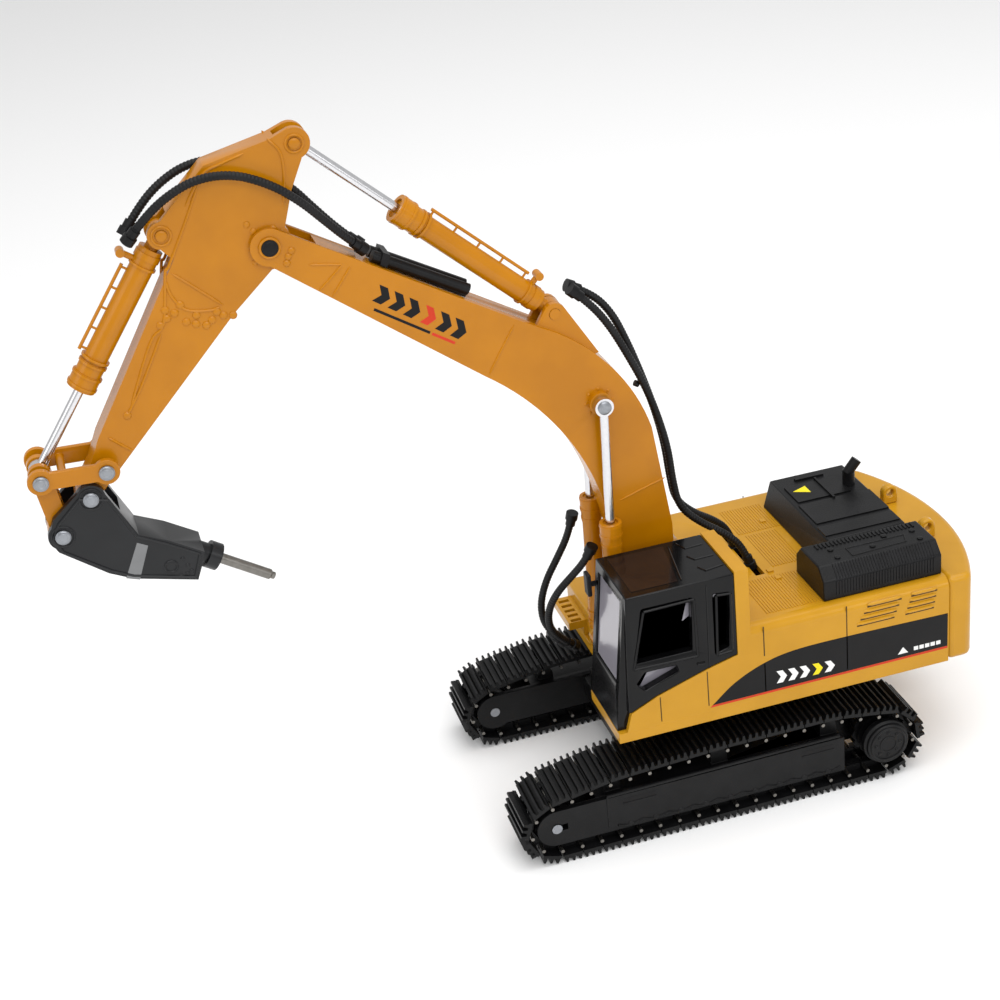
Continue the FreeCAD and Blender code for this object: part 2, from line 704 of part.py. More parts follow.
def step_grate():
    """The slotted tread in front of the storage box."""
    tread = box(16.4, 21.0, -26.0, -13.5, FLOOR + 2.2, FLOOR + 4.2)
    riser = box(16.4, 17.4, -26.0, -13.5, FLOOR, FLOOR + 2.2)
    slots = [box(17.6, 20.2, y, y + 1.2, FLOOR + 2.2, FLOOR + 4.2)
             for y in (-24.6, -22.2, -19.8, -17.4, -15.0)]
    return cut(fuse(tread, riser), *slots)


def cab_mirror():
    arm = box(20.0, 22.6, CAB_IN + 0.8, CAB_IN + 2.0, 57.0, 58.0)
    glass = box(22.0, 23.0, CAB_IN + 0.1, CAB_IN + 2.8, 55.0, 60.6)
    return cut(fuse(arm, glass), plate(cab_outline(0), CAB_IN, HALF))


node("house_floor", house_floor())
node("body_casing", body_casing())
node("counterweight", counterweight())
node("lifting_lugs", group(lifting_lug(-9.6), lifting_lug(9.6)))
node("engine_hood", engine_hood())
node("exhaust_pipe", exhaust_pipe())
node("cab_shell", cab_shell())
node("cab_windows", cab_panes())
node("driver_seat", driver_seat())
node("tool_box", tool_box())
node("step_grate", step_grate())
node("cab_mirror", cab_mirror())
node("casing_screws", group(*[fuse(post(x, y, 1.8, HOUSE_LOW + 0.1, HOUSE_LOW + 1.1),
                                   post(x, y, 0.85, HOUSE_LOW + 1.1, FLOOR + 7.5)) for x, y in SCREWS]))
lift_pins = [disc(LIFT_BASE, PIN, *between(side, LIFT - 2.6, LIFT + 2.6))
             for side in (1, -1)]
node("boom_base_pins", group(disc(FOOT, PIN, -BRACKET[1] - 0.4, BRACKET[1] + 0.4), *lift_pins))

# ---------------------------------------------------------------- boom
STICK = dim("stick_half")
FORK_GAP = 0.15                  # side clearance of the stick in the boom's fork
EYE = 2.4                        # outer radius of a cylinder's base eye
ROD_EYE = 2.1
BARREL_START = 3.7               # pin to the flat end of a barrel


def boom():
    """The gooseneck boom: a box beam with a fork at the elbow and a bracket on its back."""
    near_elbow = [offset(ELBOW, 0.4, -3.9), offset(ELBOW, -2.5, 3.0), offset(ELBOW, -15.3, -5.0),
                  offset(ELBOW, -53.8, -28.5)]
    back = [offset(FOOT, -0.9, 49.1) + (45.0,), offset(FOOT, -4.2, 24.0), offset(FOOT, -4.2, 0)]
    front = [offset(FOOT, 4.2, 0), offset(FOOT, 11.2, 32.0), offset(FOOT, 35.3, 69.2) + (-62.0,)]
    beam = plate(near_elbow + back + front, -BOOM, BOOM)
    solids = [beam, disc(FOOT, 4.2, -BOOM, BOOM), disc(ELBOW, 3.9, -BOOM, BOOM)]
    for side in (1, -1):
        boss = between(side, BOOM, LIFT - 1.2)
        solids.append(disc(LIFT_EYE, 2.6, *boss))
        ear = between(side, 1.9, 3.3)
        solids.append(plate([offset(STICK_BASE, 6.0, -4.6), offset(STICK_BASE, 1.8, 1.8),
                             offset(STICK_BASE, -2.0, 1.4), offset(STICK_BASE, -9.0, -10.6),
                             offset(STICK_BASE, -4.0, -12.0)], *ear))
        solids.append(disc(STICK_BASE, EYE, *ear))
    fork = STICK + FORK_GAP
    return cut(fuse(*solids), disc(ELBOW, 9.6, -fork, fork),
               disc(ELBOW, 1.7 + GAP, -BOOM, BOOM), disc(FOOT, PIN + GAP, -BOOM, BOOM),
               disc(LIFT_EYE, PIN + GAP, -LIFT, LIFT), disc(STICK_BASE, PIN + GAP, -BOOM, BOOM))


DUCT_LINE = (offset(ELBOW, -39.8, -19.4 + 1.55), offset(ELBOW, -20.6, -8.1 + 1.5))


def hose_duct():
    """The black duct that holds the two arm hoses on top of the boom, with a strap at its end."""
    solids = [shaft(DUCT_LINE[0], DUCT_LINE[1], y, 1.25, 0, length_between(*DUCT_LINE)) for y in (-1.6, 1.6)]
    strap = plate([offset(DUCT_LINE[1], -2.6, -2.6), offset(DUCT_LINE[1], -1.2, -1.8),
                   offset(DUCT_LINE[1], -2.2, 0.7), offset(DUCT_LINE[1], -3.6, -0.1)], -3.2, 3.2)
    saddle = plate([offset(DUCT_LINE[0], 1.0, -1.3), offset(DUCT_LINE[1], -1.0, -1.3),
                    offset(DUCT_LINE[1], -1.4, -0.6), offset(DUCT_LINE[0], 0.6, -0.6)], -2.4, 2.4)
    boom_top = plate([offset(ELBOW, -2.5, 3.0), offset(ELBOW, -15.3, -5.0), offset(ELBOW, -53.8, -28.5),
                      offset(ELBOW, -40.0, -30.0)], -BOOM, BOOM)
    return cut(fuse(strap, saddle, *solids), boom_top)


def hose_clamp():
    """The stub clamp on the boom's back that holds the two boom hoses."""
    low = offset(FOOT, -0.9, 49.1)
    high = offset(ELBOW, -53.8, -28.5)
    foot = (low[0] + (high[0] - low[0]) / 4 - 3.975, low[1] + (high[1] - low[1]) / 4 + 2.2)
    end = offset(foot, -4.5, -2.8)
    return cut(shaft(foot, end, 0, 0.7, 0, 1.0), boom_back())


def boom_back():
    """The boom's solid outline again, for trimming what lies against it."""
    return plate([offset(ELBOW, -2.5, 3.0), offset(ELBOW, -15.3, -5.0), offset(ELBOW, -53.8, -28.5),
                  offset(FOOT, -0.9, 49.1) + (45.0,), offset(FOOT, -4.2, 24.0), offset(FOOT, 11.2, 32.0),
                  offset(FOOT, 35.3, 69.2) + (-62.0,)], -BOOM, BOOM)


node("boom", boom())
node("elbow_pin", disc(ELBOW, 1.7, -BOOM - 0.5, BOOM + 0.5))
node("lift_eye_pin", disc(LIFT_EYE, PIN, -LIFT - 1.3, LIFT + 1.3))
node("stick_cylinder_base_pin", disc(STICK_BASE, PIN, -3.5, 3.5))
node("hose_duct", hose_duct())
node("hose_clamp", hose_clamp())


# ---------------------------------------------------------------- cylinders
def barrel(pin, end, y, radius, length, bore, eye_half, collar):
    """A cylinder barrel from its base eye to its open end, with a stepped gland collar."""
    low = y - eye_half
    high = y + eye_half
    solid = fuse(disc(pin, radius - 0.15, low, high),
                 shaft(pin, end, y, eye_half - 0.15, 1.6, BARREL_START + 0.4),
                 shaft(pin, end, y, radius, BARREL_START, length),
                 shaft(pin, end, y, radius + collar, length - 3.6, length),
                 shaft(pin, end, y, radius + collar * 0.5, length - 6.2, length - 3.6),
                 shaft(pin, end, y, radius + 0.2, BARREL_START + 1.0, BARREL_START + 2.4))
    return cut(solid, disc(pin, PIN + GAP, low, high), shaft(pin, end, y, bore, BARREL_START + 1.6, length))


def pipe_rail(pin, end, y, stand, near, far):
    """The oil pipe along a barrel: a thin bar on five stand-offs, above the barrel."""
    run = end[0] - pin[0]
    rise = end[1] - pin[1]
    length = length_between(pin, end)
    side_pin = (pin[0] - rise * stand / length, pin[1] + run * stand / length)
    side_end = (end[0] - rise * stand / length, end[1] + run * stand / length)
    solids = [shaft(side_pin, side_end, y, 0.35, near, far)]
    for index in range(5):
        at = near + 0.6 + (far - near - 1.2) * index / 4
        foot = (pin[0] + run * at / length, pin[1] + rise * at / length)
        head = (side_pin[0] + run * at / length, side_pin[1] + rise * at / length)
        solids.append(shaft(foot, head, y, 0.25, 2.35, stand))
    return fuse(*solids)


def cylinder_rod(pin, end, y, near, eye_half):
    """A piston rod on the same line, from inside the barrel to its own eye at the far pin."""
    length = length_between(pin, end)
    low = y - eye_half
    high = y + eye_half
    return cut(fuse(shaft(pin, end, y, ROD, near, length - 1.6), disc(end, ROD_EYE, low, high)),
               disc(end, PIN + GAP, low, high))


LIFT_BARREL = 38.5
STICK_BARREL = 41.6
NOSE_BARREL = 36.0
STICK_BORE = ROD + 1.12          # room for the rod's sideways travel over the stick's range
LIFT_BORE = ROD + 0.68
NOSE_BORE = ROD + 0.68

for label, side in SIDES:
    y = LIFT * side
    node("lift_barrel_" + label, barrel(LIFT_BASE, LIFT_EYE, y, dim("lift_barrel_radius"), LIFT_BARREL,
                                        LIFT_BORE, 1.1, 0.3))
    node("lift_rod_" + label, cylinder_rod(LIFT_BASE, LIFT_EYE, y, 17.0, 1.0))


def port(pin, end, at, reach, half):
    """A hose union on a barrel: a stub standing off it and a cross tube at its head."""
    run = end[0] - pin[0]
    rise = end[1] - pin[1]
    length = length_between(pin, end)
    foot = (pin[0] + run * at / length, pin[1] + rise * at / length)
    head = (foot[0] - rise * reach / length, foot[1] + run * reach / length)
    return [shaft(foot, head, 0, 0.65, dim("barrel_radius") - 0.2, reach), disc(head, 0.9, -half, half)]


def stick_barrel():
    tube = barrel(STICK_BASE, CREST, 0, dim("barrel_radius"), STICK_BARREL, STICK_BORE, 1.6, 0.6)
    rail = pipe_rail(STICK_BASE, CREST, 0, dim("barrel_radius") + 1.3, 9.0, 35.0)
    return fuse(tube, rail, *port(STICK_BASE, CREST, 7.0, 4.6, 1.4))


def nose_barrel():
    tube = barrel(NOSE, ROCKER_END, 0, dim("barrel_radius"), NOSE_BARREL, NOSE_BORE, 1.6, 0.5)
    rail = pipe_rail(NOSE, ROCKER_END, 0, dim("barrel_radius") + 1.3, 9.0, 28.5)
    return fuse(tube, rail, *port(NOSE, ROCKER_END, 7.0, 5.2, 1.2))


node("stick_cylinder_barrel", stick_barrel())
node("stick_cylinder_rod", cylinder_rod(STICK_BASE, CREST, 0, 12.0, 1.3))
node("breaker_cylinder_barrel", nose_barrel())
node("breaker_cylinder_rod", cylinder_rod(NOSE, ROCKER_END, 0, 10.0, 1.3))


# ---------------------------------------------------------------- stick and linkage
def stick():
    """The stick: a tapered box beam, forked at its crest and its nose for two cylinders."""
    beam = plate([offset(ELBOW, 0, -5.0), offset(ELBOW, 9.0, -12.6), offset(TIP, -16.6, 13.8),
                  offset(TIP, -3.0, 0.5), offset(TIP, 3.0, 0.5), offset(ROCKER, 3.0, 0.5),
                  offset(ROCKER, 0.3, 6.1), offset(NOSE, -1.5, -5.2), offset(NOSE, 2.6, -0.4),
                  offset(NOSE, -0.2, 2.9), offset(NOSE, -10.4, 12.3), offset(CREST, 4.6, 1.7),
                  offset(CREST, 0.9, 3.1), offset(CREST, -3.1, 0.9), offset(CREST, 1.9, -9.1),
                  offset(ELBOW, -4.0, 3.6)], -STICK, STICK)
    solids = [beam, disc(CREST, 3.2, -STICK, STICK), disc(ROCKER, 2.9, -STICK, STICK),
              disc(TIP, 2.9, -STICK, STICK), disc(ELBOW, 5.0, -STICK, STICK), disc(NOSE, 2.8, -STICK, STICK)]
    cheek = 0.2
    holes = [disc(ELBOW, 1.7 + GAP, -STICK, STICK), disc(CREST, PIN + GAP, -STICK, STICK),
             disc(NOSE, PIN + GAP, -STICK, STICK), disc(ROCKER, PIN + GAP, -STICK, STICK),
             disc(TIP, PIN + GAP, -STICK, STICK),
             disc(CREST, 4.2, -1.3 - cheek, 1.3 + cheek), disc(NOSE, 4.6, -1.6 - cheek, 1.6 + cheek)]
    return cut(fuse(*solids), *holes)


def headed_pin(pin, half, head_from, head_to):
    """A pin through a joint, with a round head at each end."""
    return fuse(disc(pin, PIN, -half, half), disc(pin, HEAD, head_from, head_to),
                disc(pin, HEAD, -head_to, -head_from))


BREAKER = dim("breaker_half")
ROCKER_IN = dim("rocker_inner")
ROCKER_OUT = dim("rocker_outer")


def rocker():
    """The H-shaped rocker: two side plates joined by a round cross bar."""
    eye = dim("rocker_eye_radius")
    bar_at = (ROCKER[0] + dim("rocker_length") * 0.66, ROCKER[1] + dim("rocker_rise") * 0.66)
    solids = [disc(bar_at, 0.9, -ROCKER_IN, ROCKER_IN)]
    holes = []
    for side in (1, -1):
        span = between(side, ROCKER_IN, ROCKER_OUT)
        solids.append(plate([offset(ROCKER, 0, -1.8), offset(ROCKER_END, 0, -1.8),
                             offset(ROCKER_END, 0, 1.8), offset(ROCKER, 0, 1.8)], *span))
        for pin in (ROCKER, ROCKER_END):
            solids.append(disc(pin, eye, *span))
            holes.append(disc(pin, PIN + GAP, *span))
    return cut(fuse(*solids), *holes)


LINK_EYE = PIN + 1.0             # open eye: room for the linkage's play at the breaker
LINK_CHEEK = (1.55, 3.1)


def link():
    """The link from the rocker to the breaker: forked above, one wide eye below."""
    solids = [disc(LINK, 2.9, -LINK_CHEEK[1], LINK_CHEEK[1])]
    holes = [disc(LINK, LINK_EYE, -LINK_CHEEK[1], LINK_CHEEK[1])]
    for side in (1, -1):
        span = between(side, *LINK_CHEEK)
        solids.append(disc(ROCKER_END, 2.4, *span))
        holes.append(disc(ROCKER_END, PIN + GAP, *span))
        solids.append(plate([offset(ROCKER_END, -2.2, 0), offset(LINK, -2.0, 0), offset(LINK, 2.0, 0),
                             offset(ROCKER_END, 2.0, 0)], *span))
    solids.append(plate([offset(LINK, -1.9, 1.0), offset(LINK, 1.9, 1.0), offset(LINK, 2.2, 6.4),
                         offset(LINK, -1.2, 6.4)], -LINK_CHEEK[1], LINK_CHEEK[1]))
    return cut(fuse(*solids), *holes)


def breaker_body():
    """The breaker: two cheeks for the pins, closing to a solid housing round the hammer."""
    outline = [offset(TIP, -3.0, 0.6), offset(TIP, -7.9, -10.2), offset(TIP, -13.7, -13.0),
               offset(TIP, -20.5, -17.4), offset(TIP, -19.6, -20.1), offset(TIP, -18.1, -23.6),
               offset(TIP, -5.0, -20.0), offset(TIP, -0.3, -17.5), offset(LINK, 1.5, -3.3),
               offset(LINK, 3.0, -0.1), offset(LINK, 1.2, 4.1), offset(TIP, 2.6, 1.7)]
    slot = STICK + FORK_GAP
    solids = [plate(outline, -BREAKER, BREAKER), disc(TIP, 3.1, -BREAKER, BREAKER),
              disc(LINK, 3.0, -BREAKER, BREAKER)]
    pocket = plate([offset(TIP, -6.2, -4.0), offset(TIP, 0.5, -7.4), offset(LINK, -2.4, -3.9),
                    offset(LINK, 3.6, -3.4), offset(LINK, 4.0, 2.5), offset(TIP, 4.5, 4.0),
                    offset(TIP, -6.2, 4.0)], -slot, slot)
    neck_end = offset(CHISEL_ROOT, -0.1, 0.9)
    collar = shaft(neck_end, CHISEL_TIP, 0, 3.0, 0.6, 3.2)
    sleeve = shaft(neck_end, CHISEL_TIP, 0, 2.2, -2.2, 0.8)
    holes = [pocket, disc(TIP, PIN + GAP, -BREAKER, BREAKER), disc(LINK, PIN + GAP, -BREAKER, BREAKER),
             shaft(neck_end, CHISEL_TIP, 0, dim("chisel_radius") + GAP, -2.2, 3.6)]
    return cut(fuse(*solids, collar, sleeve), *holes)


CHISEL_ROOT = offset(TIP, -20.6, -21.0)
CHISEL_TIP = offset(TIP, -34.5, -29.4)


def chisel():
    """The breaker's moil point: a round bar with a short cone."""
    neck_end = offset(CHISEL_ROOT, -0.1, 0.9)
    length = length_between(neck_end, CHISEL_TIP)
    bar = shaft(neck_end, CHISEL_TIP, 0, dim("chisel_radius"), -2.0, length - 1.0)
    nose = shaft(neck_end, CHISEL_TIP, 0, dim("chisel_radius") * 0.7, length - 1.0, length)
    return fuse(bar, nose)


node("stick", stick())
node("stick_crest_pin", disc(CREST, PIN, -STICK - 0.3, STICK + 0.3))
node("breaker_cylinder_base_pin", disc(NOSE, PIN, -STICK - 0.3, STICK + 0.3))
node("rocker_pin", headed_pin(ROCKER, ROCKER_OUT + 0.1, ROCKER_OUT + 0.05, ROCKER_OUT + 0.55))
node("breaker_pin", headed_pin(TIP, BREAKER + 0.1, BREAKER, BREAKER + 0.45))
node("rocker", rocker())
node("rocker_end_pin", headed_pin(ROCKER_END, ROCKER_OUT, ROCKER_OUT, ROCKER_OUT + 0.55))
node("link", link())
node("breaker_body", breaker_body())
node("chisel", chisel())
node("link_pin", headed_pin(LINK, BREAKER, BREAKER, BREAKER + 0.45))


# ---------------------------------------------------------------- hoses
def hose(name, route):
    """A tube along straight runs joined by the largest tangent arcs that the runs allow."""
    points = [Vector(*spot) for spot in route]
    edges = []
    start = points[0]
    radii = []
    for before, corner, after in zip(points, points[1:], points[2:]):
        run_in = corner - before
        run_out = after - corner
        turn = run_in.getAngle(run_out)
        reach = 0.45 * min(run_in.Length, run_out.Length)
        radii.append(reach / math.tan(turn / 2))
        enter = corner - run_in.normalize() * reach
        leave = corner + run_out.normalize() * reach
        inward = (enter + leave) / 2 - corner
        depth = inward.Length
        sagitta = radii[-1] * (1 / math.cos(turn / 2) - 1)
        middle = corner + inward * (sagitta / depth)
        edges.append(Part.LineSegment(start, enter).toShape())
        edges.append(Part.Arc(enter, middle, leave).toShape())
        start = leave
    edges.append(Part.LineSegment(start, points[-1]).toShape())
    path = Part.Wire(edges)
    radius = dim("hose_radius").number
    ring = Part.Wire(Part.makeCircle(radius, points[0], points[1] - points[0]))
    tube = path.makePipeShell([ring], True, False)
    print("%s: length %.1f, bend radii %s, volume ratio %.3f" % (
        name, path.Length, " ".join("%.1f" % r for r in radii),
        tube.Volume / (math.pi * radius * radius * path.Length)))
    shaped_node(name, tube)


hose("arm_hose_left", [(60.3, 1.6, 141.0), (63.8, 2.6, 144.6), (67.8, 4.2, 149.4), (72.0, 5.2, 154.4),
                       (77.4, 5.3, 159.0), (84.4, 5.3, 162.4), (91.8, 5.1, 162.6), (98.4, 4.4, 159.6),
                       (103.4, 3.4, 155.4), (106.6, 2.2, 151.8)])
hose("arm_hose_right", [(60.3, -1.6, 141.0), (63.9, -2.6, 144.4), (68.0, -4.3, 149.2), (72.0, -5.2, 154.4),
                        (77.4, -5.4, 159.4), (84.6, -5.4, 162.9), (92.0, -5.1, 163.0), (98.6, -4.4, 160.0),
                        (103.5, -3.3, 155.8), (106.8, -2.2, 152.0)])
hose("boom_hose_left", [(17.6, 1.3, 123.6), (13.4, 1.4, 119.4), (9.4, 1.3, 113.4), (6.0, 1.2, 106.2),
                        (2.6, 1.2, 98.4), (0.0, 1.2, 90.0), (-1.9, 1.2, 81.4), (-2.5, 1.2, 73.2),
                        (-3.6, 1.3, 66.2), (-8.2, 1.6, 61.2), (-13.6, 2.4, 57.5), (-18.0, 3.2, 53.2),
                        (-19.6, 3.8, 47.4)])
hose("boom_hose_right", [(17.6, -1.3, 123.6), (12.6, -1.3, 121.0), (8.2, -1.2, 115.8), (5.0, -1.2, 107.8),
                         (2.2, -1.2, 99.2), (-0.2, -1.2, 90.6), (-2.0, -1.2, 81.6), (-2.7, -1.2, 73.2),
                         (-3.8, -1.4, 66.6), (-8.4, -2.4, 61.6), (-13.6, -3.8, 57.9), (-17.9, -5.0, 53.4),
                         (-19.6, -5.8, 47.4)])
hose("lift_hose_left", [(18.6, 4.0, 62.6), (20.2, 2.8, 58.6), (23.2, 1.0, 54.4), (26.6, -1.2, 49.6),
                        (28.4, -3.6, 43.8), (27.8, -6.0, 37.8), (24.6, -8.0, 32.8), (21.0, -9.4, 29.2)])
hose("lift_hose_right", [(18.6, -9.9, 64.4), (19.6, -10.9, 59.0), (22.6, -11.6, 53.0), (26.2, -11.8, 47.0),
                         (28.2, -11.6, 40.6), (27.2, -11.2, 34.4), (23.4, -10.8, 30.0)])

# ---------------------------------------------------------------- check and write
document.recompute()
for item in document.Objects:
    if "Invalid" in item.State or "Error" in item.State:
        raise RuntimeError("%s (%s) failed: %s" % (item.Name, item.Label, item.State))
os.makedirs("parts", exist_ok=True)
whole = FreeCAD.BoundBox()
for name, item in sub_parts.items():
    shape = item.Shape
    if shape.isNull() or not shape.isValid() or not shape.Solids:
        raise RuntimeError("%s has no valid solid" % name)
    whole.add(shape.BoundBox)
    shape.exportStep("parts/%s.step" % name)
print("%d sub-parts, overall %.2f x %.2f x %.2f mm, X %.2f to %.2f, Z from %.3f" % (
    len(sub_parts), whole.XLength, whole.YLength, whole.ZLength, whole.XMin, whole.XMax, whole.ZMin))
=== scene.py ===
# %% [markdown]
# # A die-cast toy excavator with a hydraulic breaker
# A factory casts the arm and the body in zinc and sprays them with gloss enamel. The
# cab, the tracks and the engine cover are moulded in black plastic. This notebook takes
# the engineering model as a fixed frame. It then makes the finish of every piece, and
# adds the fine cast and moulded detail that the engineering model leaves out.

# %% Load the engineering frame
import json
import math
import bmesh
import bpy
import numpy as np
from mathutils import Matrix, Vector

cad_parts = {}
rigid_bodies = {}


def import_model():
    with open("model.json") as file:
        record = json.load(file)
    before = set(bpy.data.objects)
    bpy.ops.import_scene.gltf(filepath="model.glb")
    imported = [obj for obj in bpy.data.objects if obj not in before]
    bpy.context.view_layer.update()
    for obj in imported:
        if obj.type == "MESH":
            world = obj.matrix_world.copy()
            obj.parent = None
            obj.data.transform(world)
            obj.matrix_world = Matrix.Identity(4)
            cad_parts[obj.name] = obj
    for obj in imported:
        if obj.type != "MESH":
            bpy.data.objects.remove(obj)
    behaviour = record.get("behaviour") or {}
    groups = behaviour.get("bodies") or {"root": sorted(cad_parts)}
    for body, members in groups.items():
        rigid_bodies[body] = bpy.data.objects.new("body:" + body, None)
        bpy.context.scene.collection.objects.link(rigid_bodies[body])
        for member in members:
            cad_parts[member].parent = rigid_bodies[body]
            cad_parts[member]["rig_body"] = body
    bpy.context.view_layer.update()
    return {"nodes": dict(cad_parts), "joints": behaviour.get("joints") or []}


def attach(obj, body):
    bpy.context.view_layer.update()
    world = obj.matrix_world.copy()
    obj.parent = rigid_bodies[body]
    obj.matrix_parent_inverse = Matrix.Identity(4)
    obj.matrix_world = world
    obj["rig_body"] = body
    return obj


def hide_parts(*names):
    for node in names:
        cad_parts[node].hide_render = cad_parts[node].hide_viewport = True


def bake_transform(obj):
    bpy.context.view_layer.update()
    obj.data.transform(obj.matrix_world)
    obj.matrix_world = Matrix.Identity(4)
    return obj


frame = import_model()
MM = 0.001
joint_at = {joint["name"]: Vector(joint["pos_m"]) for joint in frame["joints"]}
SLEW_X = joint_at["slew"].x

# %% [markdown]
# ## Drawing coordinates
# All drawing sizes are in millimetres from the slewing axis at ground level, with x
# forwards, y to the cab side and z up. One function moves them into the model's frame,
# and works on one point or on a whole array of points.

# %% From drawing millimetres to metres
def placed(points):
    """Model position = drawing position in millimetres / 1000, moved along x to the slewing axis."""
    points = np.asarray(points, float) * MM
    return points + np.array([SLEW_X, 0.0, 0.0])


def drawn(name):
    """A joint's place in drawing millimetres: the reverse of placed()."""
    spot = joint_at[name]
    return np.array([(spot.x - SLEW_X) / MM, spot.y / MM, spot.z / MM])


FOOT, ELBOW = drawn("boom_lift"), drawn("stick_swing")
STICK_BASE, CREST = drawn("stick_barrel_swing"), drawn("stick_rod_swing")
LIFT_BASE, LIFT_EYE = drawn("lift_barrels_swing"), drawn("lift_rods_swing")
NOSE, ROCKER, ROCKER_END = drawn("breaker_barrel_swing"), drawn("rocker_swing"), drawn("link_swing")
TIP = drawn("breaker_curl")
LINK = TIP + np.array([7.1, 0.0, -7.0])
for name, pin in (("foot", FOOT), ("elbow", ELBOW), ("crest", CREST), ("breaker pin", TIP)):
    print("%-12s x %6.1f  z %6.1f" % (name, pin[0], pin[2]))

# %% [markdown]
# ## Camera
# The camera is set up first, so that every later step can be looked at. It stands to
# the left and in front of the toy, above it, and it is tilted a little about its own
# line of sight. A long lens keeps the perspective calm.

# %% Set up the camera
LOOK = Vector((-0.2024776, -0.8655217, -0.4581212))
camera_data = bpy.data.cameras.new("product_camera")
camera_data.sensor_width = 36.0
camera_data.lens = 66.95
camera_data.clip_start = 0.01
camera_data.clip_end = 20.0
camera = bpy.data.objects.new("product_camera", camera_data)
bpy.context.scene.collection.objects.link(camera)
level = LOOK.to_track_quat("-Z", "Y").to_matrix()
TILT = math.radians(-6.47)
camera.matrix_world = Matrix.Translation(Vector(placed([121.16, 357.083, 266.199]))) @ (
    level @ Matrix.Rotation(TILT, 3, "Z")).to_4x4()
bpy.context.scene.camera = camera
print("camera right", [round(c, 4) for c in camera.matrix_world.col[0][:3]])
print("camera up   ", [round(c, 4) for c in camera.matrix_world.col[1][:3]])

# %% [markdown]
# ## Colour and nodes
# Paint colours are chosen as sRGB hex values, the way a colour card lists them.
# Blender works with linear light, so one function turns the first into the second.
# A second function adds one node, with its settings and its links.

# %% Colour and node helpers
def ink(code):
    """Linear colour of an sRGB hex code: c / 12.92 below 0.04045, else ((c + 0.055) / 1.055) to the 2.4."""
    channels = np.array([int(code[i:i + 2], 16) for i in (1, 3, 5)]) / 255.0
    linear = np.where(channels <= 0.04045, channels / 12.92, ((channels + 0.055) / 1.055) ** 2.4)
    return (*linear.tolist(), 1.0)


def add(tree, kind, settings=None, **links):
    """Adds one node. Settings name a property, or an input socket, of the new node. Each
    link is an input's name with underscores for spaces, and the socket that feeds it."""
    node = tree.nodes.new(kind)
    for key, value in (settings or {}).items():
        if isinstance(key, str) and hasattr(node, key):
            setattr(node, key, value)
        else:
            node.inputs[key].default_value = value
    for key, source in links.items():
        spot = int(key[1:]) if key[1:].isdigit() else key.replace("_", " ")
        tree.links.new(source, node.inputs[spot])
    return node


def new_material(name, **surface):
    """A material with one Principled shader. Its sockets are given by name, with _ for a space."""
    material = bpy.data.materials.new(name)
    material.use_nodes = True
    tree = material.node_tree
    tree.nodes.clear()
    settings = {key.replace("_", " "): value for key, value in surface.items()}
    shader = add(tree, "ShaderNodeBsdfPrincipled", settings)
    add(tree, "ShaderNodeOutputMaterial", None, Surface=shader.outputs["BSDF"])
    place = add(tree, "ShaderNodeTexCoord").outputs["Object"]
    return material, tree, shader, place

# %% [markdown]
# ## Gloss enamel on die-cast zinc
# Enamel sprayed on a casting shrinks back slightly from the edges and lies over the
# cast skin, so it shows a faint orange peel about 0.5 mm across, a slow waviness from
# the mould, and colour that is a shade deeper where it is thick. The gloss comes from
# a clear skin over the colour, which the shader's coat layer gives.

# %% Make the enamels
def enamel(name, colour, deep, gloss):
    """Enamel: colour drifts from a lighter to a deeper shade over 12 mm, peel is 0.5 mm."""
    material, tree, shader, place = new_material(name, Metallic=0.0, IOR=1.5, Specular_IOR_Level=0.24,
                                                 Coat_Weight=0.16,
                                                 Coat_Roughness=0.12, Roughness=gloss)
    drift = add(tree, "ShaderNodeTexNoise", {"Scale": 1 / (12 * MM), "Detail": 3.0}, Vector=place)
    mix = add(tree, "ShaderNodeValToRGB", None, Fac=drift.outputs["Fac"])
    mix.color_ramp.elements[0].position = 0.35
    mix.color_ramp.elements[0].color = ink(deep)
    mix.color_ramp.elements[1].position = 0.65
    mix.color_ramp.elements[1].color = ink(colour)
    tree.links.new(mix.outputs["Color"], shader.inputs["Base Color"])
    peel = add(tree, "ShaderNodeTexNoise", {"Scale": 1 / (0.5 * MM), "Detail": 2.0}, Vector=place)
    wave = add(tree, "ShaderNodeTexNoise", {"Scale": 1 / (5 * MM), "Detail": 1.0}, Vector=place)
    both = add(tree, "ShaderNodeMath", {"operation": "MULTIPLY_ADD", 1: 0.12}, _0=peel.outputs["Fac"],
               _2=wave.outputs["Fac"])
    bump = add(tree, "ShaderNodeBump", {"Strength": 0.12, "Distance": 0.25 * MM}, Height=both.outputs[0])
    tree.links.new(bump.outputs["Normal"], shader.inputs["Normal"])
    tree.links.new(bump.outputs["Normal"], shader.inputs["Coat Normal"])
    return material


AMBER_ENAMEL = enamel("amber_gloss_enamel_on_zinc", "#B57300", "#AC6C00", 0.26)
YELLOW_ENAMEL = enamel("yellow_gloss_enamel_on_zinc", "#BE8A18", "#B68314", 0.28)
GREY_ENAMEL = enamel("dark_grey_satin_enamel_on_zinc", "#1A1B1D", "#141517", 0.34)
PALE_GREY_ENAMEL = enamel("pale_grey_satin_enamel_on_zinc", "#7C7D7E", "#707172", 0.4)
print("enamels:", AMBER_ENAMEL.name, YELLOW_ENAMEL.name, GREY_ENAMEL.name)

# %% [markdown]
# ## Moulded black plastics
# The tracks and the engine cover are moulded in a mould with a spark-eroded skin, about
# 0.25 mm in grain, which scatters the light. The cab comes from a polished mould, so it
# shines. Both are nearly black, and only the grain and the roughness set them apart.

